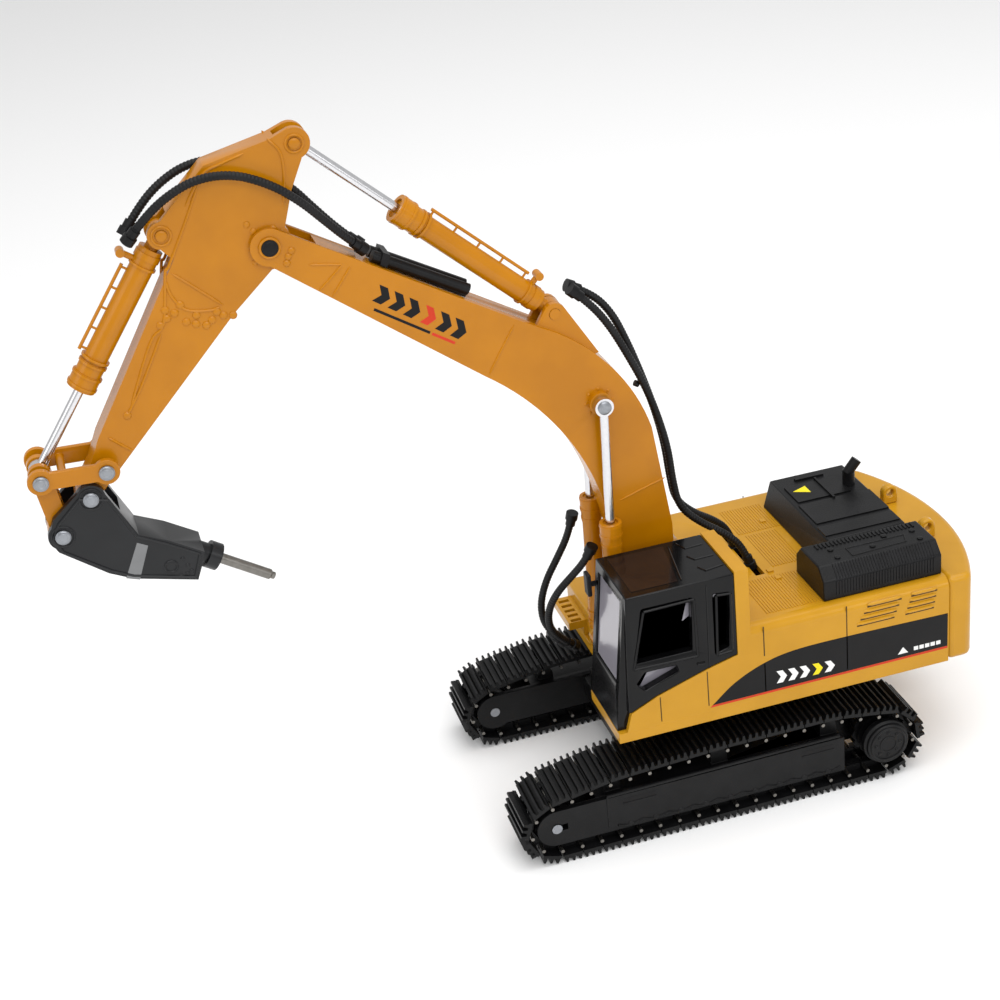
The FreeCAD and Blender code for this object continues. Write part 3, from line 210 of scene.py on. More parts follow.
# %% Make the plastics
def moulded(name, colour, worn, rough, grain, depth):
    """Plastic: grain in millimetres gives the bump, and a 6 mm cloud mixes in a worn shade."""
    material, tree, shader, place = new_material(name, IOR=1.53, Roughness=rough, Specular_IOR_Level=0.2)
    cloud = add(tree, "ShaderNodeTexNoise", {"Scale": 1 / (6 * MM), "Detail": 4.0}, Vector=place)
    ramp = add(tree, "ShaderNodeValToRGB", None, Fac=cloud.outputs["Fac"])
    ramp.color_ramp.elements[0].position = 0.4
    ramp.color_ramp.elements[0].color = ink(colour)
    ramp.color_ramp.elements[1].position = 0.75
    ramp.color_ramp.elements[1].color = ink(worn)
    tree.links.new(ramp.outputs["Color"], shader.inputs["Base Color"])
    skin = add(tree, "ShaderNodeTexNoise", {"Scale": 1 / (grain * MM), "Detail": 2.0}, Vector=place)
    bump = add(tree, "ShaderNodeBump", {"Strength": depth, "Distance": 0.1 * MM}, Height=skin.outputs["Fac"])
    tree.links.new(bump.outputs["Normal"], shader.inputs["Normal"])
    return material


TRACK_PLASTIC = moulded("spark_eroded_black_abs", "#080809", "#121213", 0.4, 0.3, 0.35)
COVER_PLASTIC = moulded("matt_black_abs_cover", "#0A0A0B", "#131315", 0.4, 0.35, 0.45)
CAB_PLASTIC = moulded("polished_black_abs", "#080809", "#0D0D0E", 0.16, 0.9, 0.06)
SEAT_PLASTIC = moulded("charcoal_abs_seat", "#3A3A3C", "#47474A", 0.55, 0.4, 0.3)
print("plastics made: 4")

# %% [markdown]
# ## Metals
# The piston rods are plated bar, drawn lengthways, so they carry very fine lines. The
# rivets are bare steel, with a slightly hammered head. The breaker's point is darker,
# as if oiled. A metal keeps the shader's own index of refraction.

# %% Make the metals
def bare_metal(name, colour, dark, rough, grain, depth):
    """Metal: roughness rises and falls by a fifth over a cloud of the grain's size."""
    material, tree, shader, place = new_material(name, Metallic=1.0, Roughness=rough)
    cloud = add(tree, "ShaderNodeTexNoise", {"Scale": 1 / (grain * MM), "Detail": 3.0}, Vector=place)
    ramp = add(tree, "ShaderNodeValToRGB", None, Fac=cloud.outputs["Fac"])
    ramp.color_ramp.elements[0].color = ink(dark)
    ramp.color_ramp.elements[1].color = ink(colour)
    tree.links.new(ramp.outputs["Color"], shader.inputs["Base Color"])
    wear = add(tree, "ShaderNodeMapRange", {"To Min": rough * 0.8, "To Max": rough * 1.3},
               Value=cloud.outputs["Fac"])
    tree.links.new(wear.outputs["Result"], shader.inputs["Roughness"])
    bump = add(tree, "ShaderNodeBump", {"Strength": depth, "Distance": 0.08 * MM},
               Height=cloud.outputs["Fac"])
    tree.links.new(bump.outputs["Normal"], shader.inputs["Normal"])
    return material


PLATED_ROD = bare_metal("nickel_plated_drawn_bar", "#E3E3E5", "#C9C9CC", 0.2, 0.5, 0.1)
RIVET_STEEL = bare_metal("peened_rivet_steel", "#9EA1A6", "#84878C", 0.3, 0.8, 0.25)
POINT_STEEL = bare_metal("oiled_tool_steel", "#8A8782", "#6A6762", 0.34, 1.2, 0.2)
print("metals made: 3")

# %% [markdown]
# ## Rubber, window plastic and printed ink
# The hoses are soft black rubber. The windows are smoked styrene, milky enough that only
# one part in twenty of the light goes through, so they mostly reflect the room and hardly
# anything of the cab shows. The marks on the sides are pad printed: a thin flat film of
# ink with a satin sheen, so they need a material but hardly any bump.

# %% Make the rubber, window and inks
HOSE_RUBBER = moulded("ribbed_black_rubber", "#0F0F10", "#1A1A1B", 0.45, 0.4, 0.2)
WINDOW_STYRENE, window_tree, window_shader, window_place = new_material(
    "smoked_styrene_window", Base_Color=ink("#8A8790"), Roughness=0.1, IOR=1.59, Transmission_Weight=0.05,
    Coat_Weight=0.4, Coat_Roughness=0.03)
flow = add(window_tree, "ShaderNodeTexNoise", {"Scale": 1 / (9 * MM), "Detail": 1.0}, Vector=window_place)
ripple = add(window_tree, "ShaderNodeBump", {"Strength": 0.05, "Distance": 0.3 * MM},
             Height=flow.outputs["Fac"])
window_tree.links.new(ripple.outputs["Normal"], window_shader.inputs["Normal"])


def printed(name, colour, faded):
    """Pad-printing ink: a satin film whose cover varies a little over half a millimetre."""
    return moulded(name, colour, faded, 0.38, 0.5, 0.08)


BLACK_INK = printed("black_pad_print", "#080708", "#0E0D0E")
RED_INK = printed("red_pad_print", "#C4371C", "#B53118")
WHITE_INK = printed("white_pad_print", "#E8E8E6", "#D8D8D6")
YELLOW_INK = printed("yellow_pad_print", "#E6D51E", "#D8C81A")
# SEAM_SHADOW is painted shade, not ink on the toy: a dark film that stands for the shade inside the casing's
# grooves and in the gaps under the louvres.
SEAM_SHADOW = printed("shadowed_mould_seam", "#4A3410", "#3A2A0C")
print("materials so far:", len(bpy.data.materials))

# %% [markdown]
# ## Surfaces from arrays
# Every new piece below is worked out as arrays of points in drawing millimetres. A
# shape is a pair: its points and its faces. A grid shape joins each point to its
# neighbours, and can close on itself in either direction or have its two ends capped.

# %% Grid, prism and lathe shapes
def grid(points, close_rows=False, close_columns=False, capped=False):
    """Faces of a rows x columns array of points: one quad per cell, plus a cap at each end row."""
    points = np.asarray(points, float)
    rows, columns = points.shape[:2]
    row, column = np.meshgrid(np.arange(rows if close_rows else rows - 1),
                              np.arange(columns if close_columns else columns - 1), indexing="ij")
    here = row * columns
    above = (row + 1) % rows * columns
    beside = (column + 1) % columns
    quads = np.stack([here + column, here + beside, above + beside, above + column], -1).reshape(-1, 4)
    faces = quads.tolist()
    if capped:
        faces.append(list(range(columns))[::-1])
        faces.append(list(range((rows - 1) * columns, rows * columns)))
    return points.reshape(-1, 3), faces


AXES = {"x": (1, 2, 0), "y": (0, 2, 1), "z": (0, 1, 2)}


def prism(outline, axis, low, high):
    """A plate: the outline's two coordinates fill the plane across the axis, at low and then at high."""
    outline = np.asarray(outline, float)
    first, second, along = AXES[axis]
    points = np.zeros((2, len(outline), 3))
    points[:, :, first] = outline[:, 0]
    points[:, :, second] = outline[:, 1]
    points[0, :, along] = low
    points[1, :, along] = high
    return grid(points, close_columns=True, capped=True)


def across(direction):
    """Two unit vectors square to a direction and to each other: Y x d, then d x that."""
    direction = np.asarray(direction, float)
    helper = np.where(np.abs(direction[..., 1:2]) > 0.9, [1.0, 0.0, 0.0], [0.0, 1.0, 0.0])
    side = np.cross(helper, direction)
    side /= np.linalg.norm(side, axis=-1, keepdims=True)
    return side, np.cross(direction, side)


def lathe(profile, start, direction, steps=28):
    """A turned shape: each (distance, radius) pair of the profile becomes a circle round the axis."""
    profile = np.asarray(profile, float)
    direction = np.asarray(direction, float) / np.linalg.norm(direction)
    side, other = across(direction)
    turn = np.linspace(0, 2 * math.pi, steps, endpoint=False)
    ring = np.cos(turn)[:, None] * side + np.sin(turn)[:, None] * other
    points = np.asarray(start) + profile[:, :1, None] * direction + profile[:, 1:, None] * ring[None]
    return grid(points, close_columns=True, capped=True)


def rope(path, radius, steps=10):
    """A tube: at each path point, a circle of that point's radius square to the path."""
    path = np.asarray(path, float)
    radius = np.broadcast_to(np.asarray(radius, float), len(path))
    along = np.gradient(path, axis=0)
    along /= np.linalg.norm(along, axis=1, keepdims=True)
    side, other = across(along)
    turn = np.linspace(0, 2 * math.pi, steps, endpoint=False)
    ring = np.cos(turn)[None, :, None] * side[:, None] + np.sin(turn)[None, :, None] * other[:, None]
    return grid(path[:, None] + radius[:, None, None] * ring, close_columns=True, capped=True)


def smooth_line(points, count=8):
    """A Catmull-Rom curve through the points: each span is a cubic of its four nearest points."""
    points = np.asarray(points, float)
    padded = np.vstack([2 * points[0] - points[1], points, 2 * points[-1] - points[-2]])
    t = np.linspace(0, 1, count, endpoint=False)[None, :, None]
    p0, p1, p2, p3 = (padded[k:len(padded) - 3 + k, None] for k in range(4))
    square = 2 * p0 - 5 * p1 + 4 * p2 - p3
    cube = 3 * p1 - p0 - 3 * p2 + p3
    curve = 0.5 * (2 * p1 + (p2 - p0) * t + square * t ** 2 + cube * t ** 3)
    return np.vstack([curve.reshape(-1, points.shape[1]), points[-1:]])


def at_y(flat, y):
    """Turns (x, z) pairs into points at one y."""
    flat = np.asarray(flat, float)
    return np.column_stack([flat[:, 0], np.full(len(flat), float(y)), flat[:, 1]])


def bead(flat, y, radius=0.35):
    """A cast line on a side face: a thin tube, half sunk, that fades out over its last points."""
    path = at_y(flat, y)
    ends = np.minimum(np.arange(len(path)), np.arange(len(path))[::-1])
    return rope(path, radius * np.clip(0.35 + ends * 0.65, 0, 1), 8)


def button(x, z, y, radius, height):
    """A low cast dot or rivet head on a side face: a quarter ellipse turned about Y."""
    rise = np.linspace(0, 1, 7)
    profile = np.column_stack([height * np.sin(rise * math.pi / 2),
                               radius * np.cos(rise * math.pi / 2) + 0.01])
    profile = np.vstack([[-0.3 * np.sign(height), radius], profile])
    return lathe(profile, (x, y, z), (0, 1, 0), 18)


print("a grid of 3 x 4 points gives", len(grid(np.zeros((3, 4, 3)))[1]), "faces")

# %% [markdown]
# ## From shapes to pieces
# A piece is one object made of one or more shapes. Its points are moved into the
# model's frame, doubles are merged, its faces are turned outwards, and its surface is
# shaded smooth except where two faces meet at more than 35 degrees.

# %% Turn shapes into finished pieces
def dress(mesh, material, crease=35):
    """Merges doubles, turns faces outwards, shades smooth below the crease angle, sets the material."""
    work = bmesh.new()
    work.from_mesh(mesh)
    bmesh.ops.remove_doubles(work, verts=work.verts, dist=0.002 * MM)
    bmesh.ops.recalc_face_normals(work, faces=work.faces)
    work.to_mesh(mesh)
    work.free()
    mesh.shade_smooth()
    mesh.set_sharp_from_angle(angle=math.radians(crease))
    mesh.materials.clear()
    mesh.materials.append(material)


def piece(name, shapes, body, material, crease=35):
    """One object from several shapes, riding on a body and taking the given material."""
    points = np.vstack([shape[0] for shape in shapes])
    starts = np.cumsum([0] + [len(shape[0]) for shape in shapes])
    faces = [[corner + start for corner in face] for shape, start in zip(shapes, starts) for face in shape[1]]
    mesh = bpy.data.meshes.new(name)
    mesh.from_pydata(placed(points).tolist(), [], faces)
    dress(mesh, material, crease)
    made = bpy.data.objects.new(name, mesh)
    bpy.context.scene.collection.objects.link(made)
    if body:
        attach(made, body)
    print("%-26s %6d faces on %s" % (name, len(mesh.polygons), body))
    return made


def both_sides(shape):
    """The shape and its mirror image across the middle plane."""
    return [shape, (shape[0] * np.array([1.0, -1.0, 1.0]), shape[1])]

# %% [markdown]
# ## Soft edges for castings and mouldings
# Nothing cast or moulded has a razor edge: the tool has a radius of a few tenths of a
# millimetre, and enamel rounds it further. Those edges catch the light, and a sharp
# corner is what gives a model away. So each casting is copied, its loose triangles are
# merged back into flat faces, and a Bevel modifier rounds every edge over 30 degrees.
# The table gives each node its edge radius in millimetres, its finish and its slot.

# %% Copy a casting and round its edges
def softened(node, radius, material, segments=2):
    """A copy of a CAD node with merged faces and rounded edges, standing in for it."""
    body = frame["nodes"][node]["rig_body"]
    mesh = frame["nodes"][node].data.copy()
    work = bmesh.new()
    work.from_mesh(mesh)
    bmesh.ops.remove_doubles(work, verts=work.verts, dist=0.002 * MM)
    bmesh.ops.dissolve_limit(work, angle_limit=math.radians(1.0), verts=work.verts, edges=work.edges)
    work.to_mesh(mesh)
    work.free()
    mesh.shade_smooth()
    mesh.set_sharp_from_angle(angle=math.radians(35))
    mesh.materials.clear()
    mesh.materials.append(material)
    made = bpy.data.objects.new(node + "_finished", mesh)
    bpy.context.scene.collection.objects.link(made)
    round_off = made.modifiers.new("edge_radius", "BEVEL")
    round_off.width = radius * MM
    round_off.segments = segments
    round_off.limit_method = "ANGLE"
    round_off.angle_limit = math.radians(30)
    round_off.use_clamp_overlap = True
    round_off.harden_normals = False
    round_off.miter_outer = "MITER_ARC"
    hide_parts(node)
    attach(made, body)
    return made


def finish_node(material, *nodes):
    """Gives CAD nodes that keep their own shape a finished material."""
    for node in nodes:
        data = frame["nodes"][node].data
        data.materials.clear()
        data.materials.append(material)


SOFT = {
    "boom": (0.35, AMBER_ENAMEL, "boom_paint"),
    "stick": (0.3, AMBER_ENAMEL, "boom_paint"),
    "rocker": (0.22, AMBER_ENAMEL, "boom_paint"),
    "link": (0.22, AMBER_ENAMEL, "boom_paint"),
    "body_casing": (0.3, YELLOW_ENAMEL, "house_paint"),
    "house_floor": (0.25, YELLOW_ENAMEL, "house_paint"),
    "counterweight": (1.3, YELLOW_ENAMEL, "house_paint"),
    "lifting_lugs": (0.35, YELLOW_ENAMEL, "house_paint"),
    "tool_box": (0.8, YELLOW_ENAMEL, "house_paint"),
    "step_grate": (0.2, YELLOW_ENAMEL, "house_paint"),
    "engine_hood": (0.9, COVER_PLASTIC, "hood_plastic"),
    "cab_shell": (0.35, CAB_PLASTIC, "cab_plastic"),
    "driver_seat": (0.8, SEAT_PLASTIC, "seat_plastic"),
    "cab_mirror": (0.3, COVER_PLASTIC, "hood_plastic"),
    "breaker_body": (0.35, GREY_ENAMEL, "breaker_paint"),
    "lower_frame": (0.4, TRACK_PLASTIC, "frame_metal"),
    "track_frame_left": (0.25, TRACK_PLASTIC, "track_plastic"),
    "track_frame_right": (0.25, TRACK_PLASTIC, "track_plastic"),
    "hub_cap_left": (0.25, TRACK_PLASTIC, "track_plastic"),
    "hub_cap_right": (0.25, TRACK_PLASTIC, "track_plastic"),
    "hose_duct": (0.2, COVER_PLASTIC, "hood_plastic"),
    "chisel": (0.25, POINT_STEEL, "dark_steel"),
    "cab_windows": (0.08, WINDOW_STYRENE, "window_plastic"),
}
for node, (radius, material, slot) in SOFT.items():
    softened(node, radius, material, 3 if radius > 0.6 else 2)
for node in ("stick_cylinder_barrel", "breaker_cylinder_barrel", "lift_barrel_left", "lift_barrel_right"):
    softened(node, 0.15, AMBER_ENAMEL)
finish_node(PLATED_ROD, "lift_rod_left", "lift_rod_right", "stick_cylinder_rod", "breaker_cylinder_rod")
finish_node(TRACK_PLASTIC, "track_shoes_left", "track_shoes_right", "sprocket_left", "sprocket_right",
            "idler_left", "idler_right")
finish_node(COVER_PLASTIC, "exhaust_pipe", "hose_clamp", "elbow_pin")
finish_node(RIVET_STEEL, "slew_screw", "wheel_axles", "casing_screws", "boom_base_pins", "lift_eye_pin",
            "stick_cylinder_base_pin", "stick_crest_pin", "breaker_cylinder_base_pin", "rocker_pin",
            "breaker_pin", "rocker_end_pin", "link_pin")
finish_node(POINT_STEEL, "track_pins_left", "track_pins_right")
print("softened castings:", len(SOFT) + 4)

# %% [markdown]
# ## Hoses
# Each hose is a corrugated rubber sleeve. Its line is one smooth NURBS curve through
# the cord's route, and the sleeve is swept along points read back from that curve. The
# radius swings by 0.13 mm every 0.75 mm, which makes the rings real. The grooves are
# narrow and the rings broad, so the swing follows a sine flattened by a power below one.

# %% Sweep the corrugated hoses
def spline_line(name, route):
    """Points of a NURBS curve of order 3 that starts and ends at the route's ends, in metres."""
    curve = bpy.data.curves.new(name, "CURVE")
    curve.dimensions = "3D"
    curve.resolution_u = 24
    spline = curve.splines.new("NURBS")
    spline.points.add(len(route) - 1)
    spline.points.foreach_set("co", np.column_stack([placed(route), np.ones(len(route))]).ravel())
    spline.order_u = 3
    spline.use_endpoint_u = True
    holder = bpy.data.objects.new(name, curve)
    bpy.context.scene.collection.objects.link(holder)
    bpy.context.view_layer.update()
    line = bpy.data.meshes.new_from_object(holder)
    points = np.zeros(len(line.vertices) * 3)
    line.vertices.foreach_get("co", points)
    bpy.data.objects.remove(holder)
    return points.reshape(-1, 3)


GROOVE, FLATTEN = 0.13, 0.8


def hose(node, route, bodies, start, end, radius=0.9, pitch=0.75):
    """A corrugated sleeve: at length s its radius is r - 0.13 + 0.13 |sin(pi s / pitch)| to the 0.8."""
    line = spline_line(node, route)
    steps = np.linalg.norm(np.diff(line, axis=0), axis=1)
    reached = np.concatenate([[0], np.cumsum(steps)]) / MM
    count = int(reached[-1] / pitch * 6)
    at = np.linspace(0, reached[-1], count)
    path = np.column_stack([np.interp(at, reached, line[:, k]) for k in range(3)])
    path_mm = (path - np.array([SLEW_X, 0, 0])) / MM
    ripple = radius - GROOVE + GROOVE * np.abs(np.sin(math.pi * at / pitch)) ** FLATTEN
    made = piece(node + "_sleeve", [rope(path_mm, ripple, 14)], None, HOSE_RUBBER, 60)
    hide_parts(node)
    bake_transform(made)
    return path_mm


HOSES = {
    "arm_hose_left": ([(60.3, 1.6, 141.0), (63.8, 2.6, 144.6), (67.8, 4.2, 149.4), (72.0, 5.2, 154.4),
                       (77.4, 5.3, 159.0), (84.4, 5.3, 162.4), (91.8, 5.1, 162.6), (98.4, 4.4, 159.6),
                       (103.4, 3.4, 155.4), (106.6, 2.2, 151.8)],
                      ("boom_arm", "stick_arm"), (64.0, 0, 144.0), (86.0, 0, 162.0)),
    "arm_hose_right": ([(60.3, -1.6, 141.0), (63.9, -2.6, 144.4), (68.0, -4.3, 149.2), (72.0, -5.2, 154.4),
                        (77.4, -5.4, 159.4), (84.6, -5.4, 162.9), (92.0, -5.1, 163.0), (98.6, -4.4, 160.0),
                        (103.5, -3.3, 155.8), (106.8, -2.2, 152.0)],
                       ("boom_arm", "stick_arm"), (64.0, 0, 144.0), (86.0, 0, 162.0)),
    "boom_hose_left": ([(17.6, 1.3, 123.6), (13.4, 1.4, 119.4), (9.4, 1.3, 113.4), (6.0, 1.2, 106.2),
                        (2.6, 1.2, 98.4), (0.0, 1.2, 90.0), (-1.9, 1.2, 81.4), (-2.5, 1.2, 73.2),
                        (-3.6, 1.3, 66.2), (-8.2, 1.6, 61.2), (-13.6, 2.4, 57.5), (-18.0, 3.2, 53.2),
                        (-19.6, 3.8, 47.4)],
                       ("house", "boom_arm"), (-19.6, 0, 50.0), (-1.0, 0, 90.0)),
    "boom_hose_right": ([(17.6, -1.3, 123.6), (12.6, -1.3, 121.0), (8.2, -1.2, 115.8), (5.0, -1.2, 107.8),
                         (2.2, -1.2, 99.2), (-0.2, -1.2, 90.6), (-2.0, -1.2, 81.6), (-2.7, -1.2, 73.2),
                         (-3.8, -1.4, 66.6), (-8.4, -2.4, 61.6), (-13.6, -3.8, 57.9), (-17.9, -5.0, 53.4),
                         (-19.6, -5.8, 47.4)],
                        ("house", "boom_arm"), (-19.6, 0, 50.0), (-1.0, 0, 90.0)),
    "lift_hose_left": ([(18.6, 4.0, 62.6), (20.2, 2.8, 58.6), (23.2, 1.0, 54.4), (26.6, -1.2, 49.6),
                        (28.4, -3.6, 43.8), (27.8, -6.0, 37.8), (24.6, -8.0, 32.8), (21.0, -9.4, 29.2)],
                       ("house", "lift_barrels"), (22.0, 0, 32.0), (22.0, 0, 60.0)),
    "lift_hose_right": ([(18.6, -9.9, 64.4), (19.6, -10.9, 59.0), (22.6, -11.6, 53.0), (26.2, -11.8, 47.0),
                         (28.2, -11.6, 40.6), (27.2, -11.2, 34.4), (23.4, -10.8, 30.0)],
                        ("house", "lift_barrels"), (22.0, 0, 32.0), (22.0, 0, 60.0)),
}
hose_lines = {node: hose(node, *facts) for node, facts in HOSES.items()}
print("hoses swept:", len(hose_lines))

# %% [markdown]
# ## Cast lines on the arm
# The moulds of the boom and the stick carry raised lines, dots and rings that stand for
# welds and stiffeners. Each one stands a few tenths of a millimetre proud and fades into
# the face at its ends. They are drawn once, as (x, z) places, and mirrored.

# %% Raise the cast lines, dots and rings
def side_lines(lines, y, radius=0.3):
    """Beads along several (x, z) lines, each first smoothed, on both sides of the middle plane."""
    return [shape for line in lines for shape in both_sides(bead(smooth_line(line, 5), y, radius))]


def side_dots(spots, y, radius, height):
    """Low buttons at several (x, z) places on both sides."""
    return [shape for x, z in spots for shape in both_sides(button(x, z, y, radius, height))]


def hoop(x, z, y, radius, wire, steps=36):
    """A raised ring on a side face: a small circle of radius w carried round a circle of radius r."""
    turn = np.linspace(0, 2 * math.pi, steps, endpoint=False)[:, None]
    round_wire = np.linspace(0, 2 * math.pi, 10, endpoint=False)[None, :]
    reach = radius + wire * np.cos(round_wire)
    points = np.stack([x + reach * np.cos(turn), y + wire * np.sin(round_wire) + 0 * turn,
                       z + reach * np.sin(turn)], -1)
    return grid(points, close_rows=True, close_columns=True)


def outer_y(node):
    """The largest y of a CAD node in drawing millimetres."""
    points = np.zeros(len(frame["nodes"][node].data.vertices) * 3)
    frame["nodes"][node].data.vertices.foreach_get("co", points)
    return float(points.reshape(-1, 3)[:, 1].max() / MM)


STICK_SIDE, BOOM_SIDE = 3.1, 4.4
STICK_LINES = [
    [(76.4, 167.4), (74.3, 164.3), (74.2, 159.9), (75.2, 153.6)],
    [(81.4, 165.3), (86.0, 164.1), (90.0, 162.6), (94.3, 157.0)],
    [(90.8, 161.4), (95.2, 153.2), (99.6, 145.6), (100.5, 144.4), (102.7, 134.2), (106.1, 130.6),
     (112.6, 117.4)],
    [(100.8, 143.1), (100.1, 139.4), (97.7, 136.1), (93.2, 135.1), (91.1, 135.4)],
    [(99.3, 144.2), (94.8, 139.9), (90.4, 135.6)],
    [(103.6, 132.1), (106.6, 126.8), (110.0, 121.1), (113.4, 116.3)],
    [(118.0, 112.4), (115.8, 110.3), (113.7, 108.4)]]
STICK_DOTS = [(101.9, 136.9), (98.8, 137.4), (96.0, 134.6), (91.9, 134.5), (103.4, 133.9), (101.9, 135.1),
              (98.2, 133.6), (94.4, 132.1), (90.7, 133.5), (88.8, 133.1), (113.4, 116.3), (100.2, 135.9),
              (93.1, 133.0), (96.4, 132.8)]
ELBOW_DOTS = [(83.1, 151.1), (82.0, 149.5), (81.6, 147.6), (81.4, 144.8), (82.6, 143.2), (78.0, 149.4)]
shapes = side_lines(STICK_LINES, STICK_SIDE, 0.32) + side_dots(STICK_DOTS, STICK_SIDE, 0.85, 0.4)
shapes += side_dots(ELBOW_DOTS, STICK_SIDE, 0.7, 0.35)
for pin, radius in ((CREST, 1.75), (NOSE, 1.9)):
    shapes += both_sides(hoop(pin[0], pin[2], STICK_SIDE, radius, 0.3))
piece("stick_cast_lines", shapes, "stick_arm", AMBER_ENAMEL)

BOOM_LINES = [
    [(72.3, 141.0), (68.8, 140.4), (65.6, 139.7)], [(65.6, 139.7), (68.3, 137.4), (71.0, 135.2)],
    [(64.0, 139.0), (66.4, 136.0), (68.5, 133.4)], [(31.4, 119.4), (34.8, 114.3), (38.0, 109.3)],
    [(11.4, 72.8), (5.8, 74.5), (0.4, 76.0)]]
shapes = side_lines(BOOM_LINES, BOOM_SIDE, 0.26)
shapes += side_dots([(76.1, 143.5), (75.3, 144.6), (76.6, 142.2), (78.6, 144.9)], BOOM_SIDE, 0.75, 0.4)
turn = np.linspace(0, 2 * math.pi, 9)[:-1]
around = np.column_stack([LIFT_EYE[0] + 3.1 * np.cos(turn), LIFT_EYE[2] + 3.1 * np.sin(turn)])
shapes += side_dots(around.tolist(), BOOM_SIDE, 0.35, 0.2)
shapes += both_sides(hoop(ELBOW[0], ELBOW[2], outer_y("elbow_pin") - 0.25, 2.0, 0.3))
piece("boom_cast_lines", shapes, "boom_arm", AMBER_ENAMEL)

# %% [markdown]
# ## Pin heads
# The pins at the crest, the nose and the stick cylinder's base are hidden under paint.
# The other pins are bare rivets, spread by a hollow punch: a dome with a raised ring.

# %% Paint three pins, and spread the rivet heads
finish_node(AMBER_ENAMEL, "stick_crest_pin", "breaker_cylinder_base_pin", "stick_cylinder_base_pin")
for node, pin, radius in (("lift_eye_pin", LIFT_EYE, 1.5), ("rocker_pin", ROCKER, 1.5),
                          ("rocker_end_pin", ROCKER_END, 1.5), ("breaker_pin", TIP, 1.5),
                          ("link_pin", LINK, 1.5), ("boom_base_pins", FOOT, 1.1)):
    head = outer_y(node)
    shapes = both_sides(button(pin[0], pin[2], head, radius, 0.3)) + both_sides(
        hoop(pin[0], pin[2], head + 0.17, radius * 0.55, 0.12))
    piece(node + "_domes", shapes, frame["nodes"][node]["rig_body"], RIVET_STEEL)
shapes = []
for node, pin, radius in (("stick_crest_pin", CREST, 1.1), ("breaker_cylinder_base_pin", NOSE, 1.1)):
    shapes += both_sides(button(pin[0], pin[2], outer_y(node), radius, 0.25))
piece("painted_pin_domes", shapes, "stick_arm", AMBER_ENAMEL)
piece("elbow_pin_dome", both_sides(button(ELBOW[0], ELBOW[2], outer_y("elbow_pin"), 1.3, 0.15)), "boom_arm",
      COVER_PLASTIC)

# %% [markdown]
# ## Pad-printed marks
# The sides carry pad-printed marks: a black field that sweeps up from the cab, a red
# line under it, and rows of plain chevrons. Each mark is a film three hundredths of a
# millimetre thick. A row of chevrons fills a four-cornered area by its own (u, v).

# %% Print the marks
def film(outline, y):
    """A printed film on a side face, seated a little in the enamel and 0.03 mm proud."""
    return prism(outline, "y", y - 0.08, y + 0.03)


def chevrons(corners, starts, width, lean):
    """One six-cornered outline per start u: (u, v) in the area = (1 - v) upper edge + v lower edge."""
    upper_near, upper_far, lower_near, lower_far = (np.array(c, float) for c in corners)
    outlines = []
    for u in starts:
        shape = np.array([(u, 0), (u + width, 0), (u + width + lean, 0.5), (u + width, 1), (u, 1),
                          (u + lean, 0.5)])
        across_u, down_v = shape[:, :1], shape[:, 1:]
        upper = upper_near + across_u * (upper_far - upper_near)
        lower = lower_near + across_u * (lower_far - lower_near)
        outlines.append((1 - down_v) * upper + down_v * lower)
    return outlines


BOOM_AREA = ((58.6, 134.0), (40.4, 121.4), (60.6, 130.9), (42.0, 117.6))
dark_places = (0.0, 0.16, 0.32, 0.66, 0.82)
dark = [film(outline, BOOM_SIDE) for outline in chevrons(BOOM_AREA, dark_places, 0.09, 0.06)]
dark.append(film([(60.3, 129.2), (60.6, 128.7), (49.6, 121.2), (49.3, 121.7)], BOOM_SIDE))
red = [film(outline, BOOM_SIDE) for outline in chevrons(BOOM_AREA, (0.5,), 0.08, 0.06)]
red.append(film([(48.9, 121.4), (49.2, 120.9), (44.6, 117.8), (44.3, 118.3)], BOOM_SIDE))
dark = [side for shape in dark for side in both_sides(shape)]
red = [side for shape in red for side in both_sides(shape)]
piece("boom_black_print", dark, "boom_arm", BLACK_INK)
piece("boom_red_print", red, "boom_arm", RED_INK)

HOUSE_SIDE = 29.6
sweep = smooth_line([(1.3, 30.5), (-4.2, 34.9), (-11.1, 38.1), (-18.7, 39.6), (-31.6, 39.8),
                     (-56.5, 39.3)], 8)
field = np.vstack([sweep, [(-56.5, 30.6)]])
piece("house_black_print", both_sides(film(field, HOUSE_SIDE)), "house", BLACK_INK)
line = [(1.9, 29.95), (-56.5, 30.0), (-56.5, 30.55), (1.4, 30.45)]
piece("house_red_print", both_sides(film(line, HOUSE_SIDE)), "house", RED_INK)
HOUSE_AREA = ((-14.2, 35.2), (-29.0, 34.4), (-14.2, 32.0), (-29.0, 31.6))
OVER_BLACK = HOUSE_SIDE + 0.02
light_marks = [film(outline, OVER_BLACK)
               for outline in chevrons(HOUSE_AREA, (0.0, 0.19, 0.38, 0.79), 0.1, 0.07)]
light_marks.append(film([(-44.0, 31.5), (-46.6, 31.5), (-45.3, 33.2)], OVER_BLACK))
light_marks += [film([(x, 31.6), (x - 1.1, 31.6), (x - 1.1, 32.6), (x, 32.6)], OVER_BLACK)
                for x in np.linspace(-48.0, -53.6, 5)]
light_marks = [side for shape in light_marks for side in both_sides(shape)]
piece("house_white_print", light_marks, "house", WHITE_INK)
yellow_mark = film(chevrons(HOUSE_AREA, (0.59,), 0.1, 0.07)[0], OVER_BLACK)
piece("house_yellow_print", both_sides(yellow_mark), "house", YELLOW_INK)

# %% [markdown]
# ## Panel seams, louvres and deck ribs
# The body casing is one casting, so its doors are only drawn: a fine strip of painted shade
# round each stands for the shade in its groove, and raised louvres sit behind, with painted
# shade in the gap under each. The walkways on top have fine ribs that run across.

# %% Add the seams, louvres and ribs
def slab(x_from, x_to, y_from, y_to, z_from, z_to):
    """A rectangular block between two corners."""
    return prism([(x_from, y_from), (x_to, y_from), (x_to, y_to), (x_from, y_to)], "z", z_from, z_to)


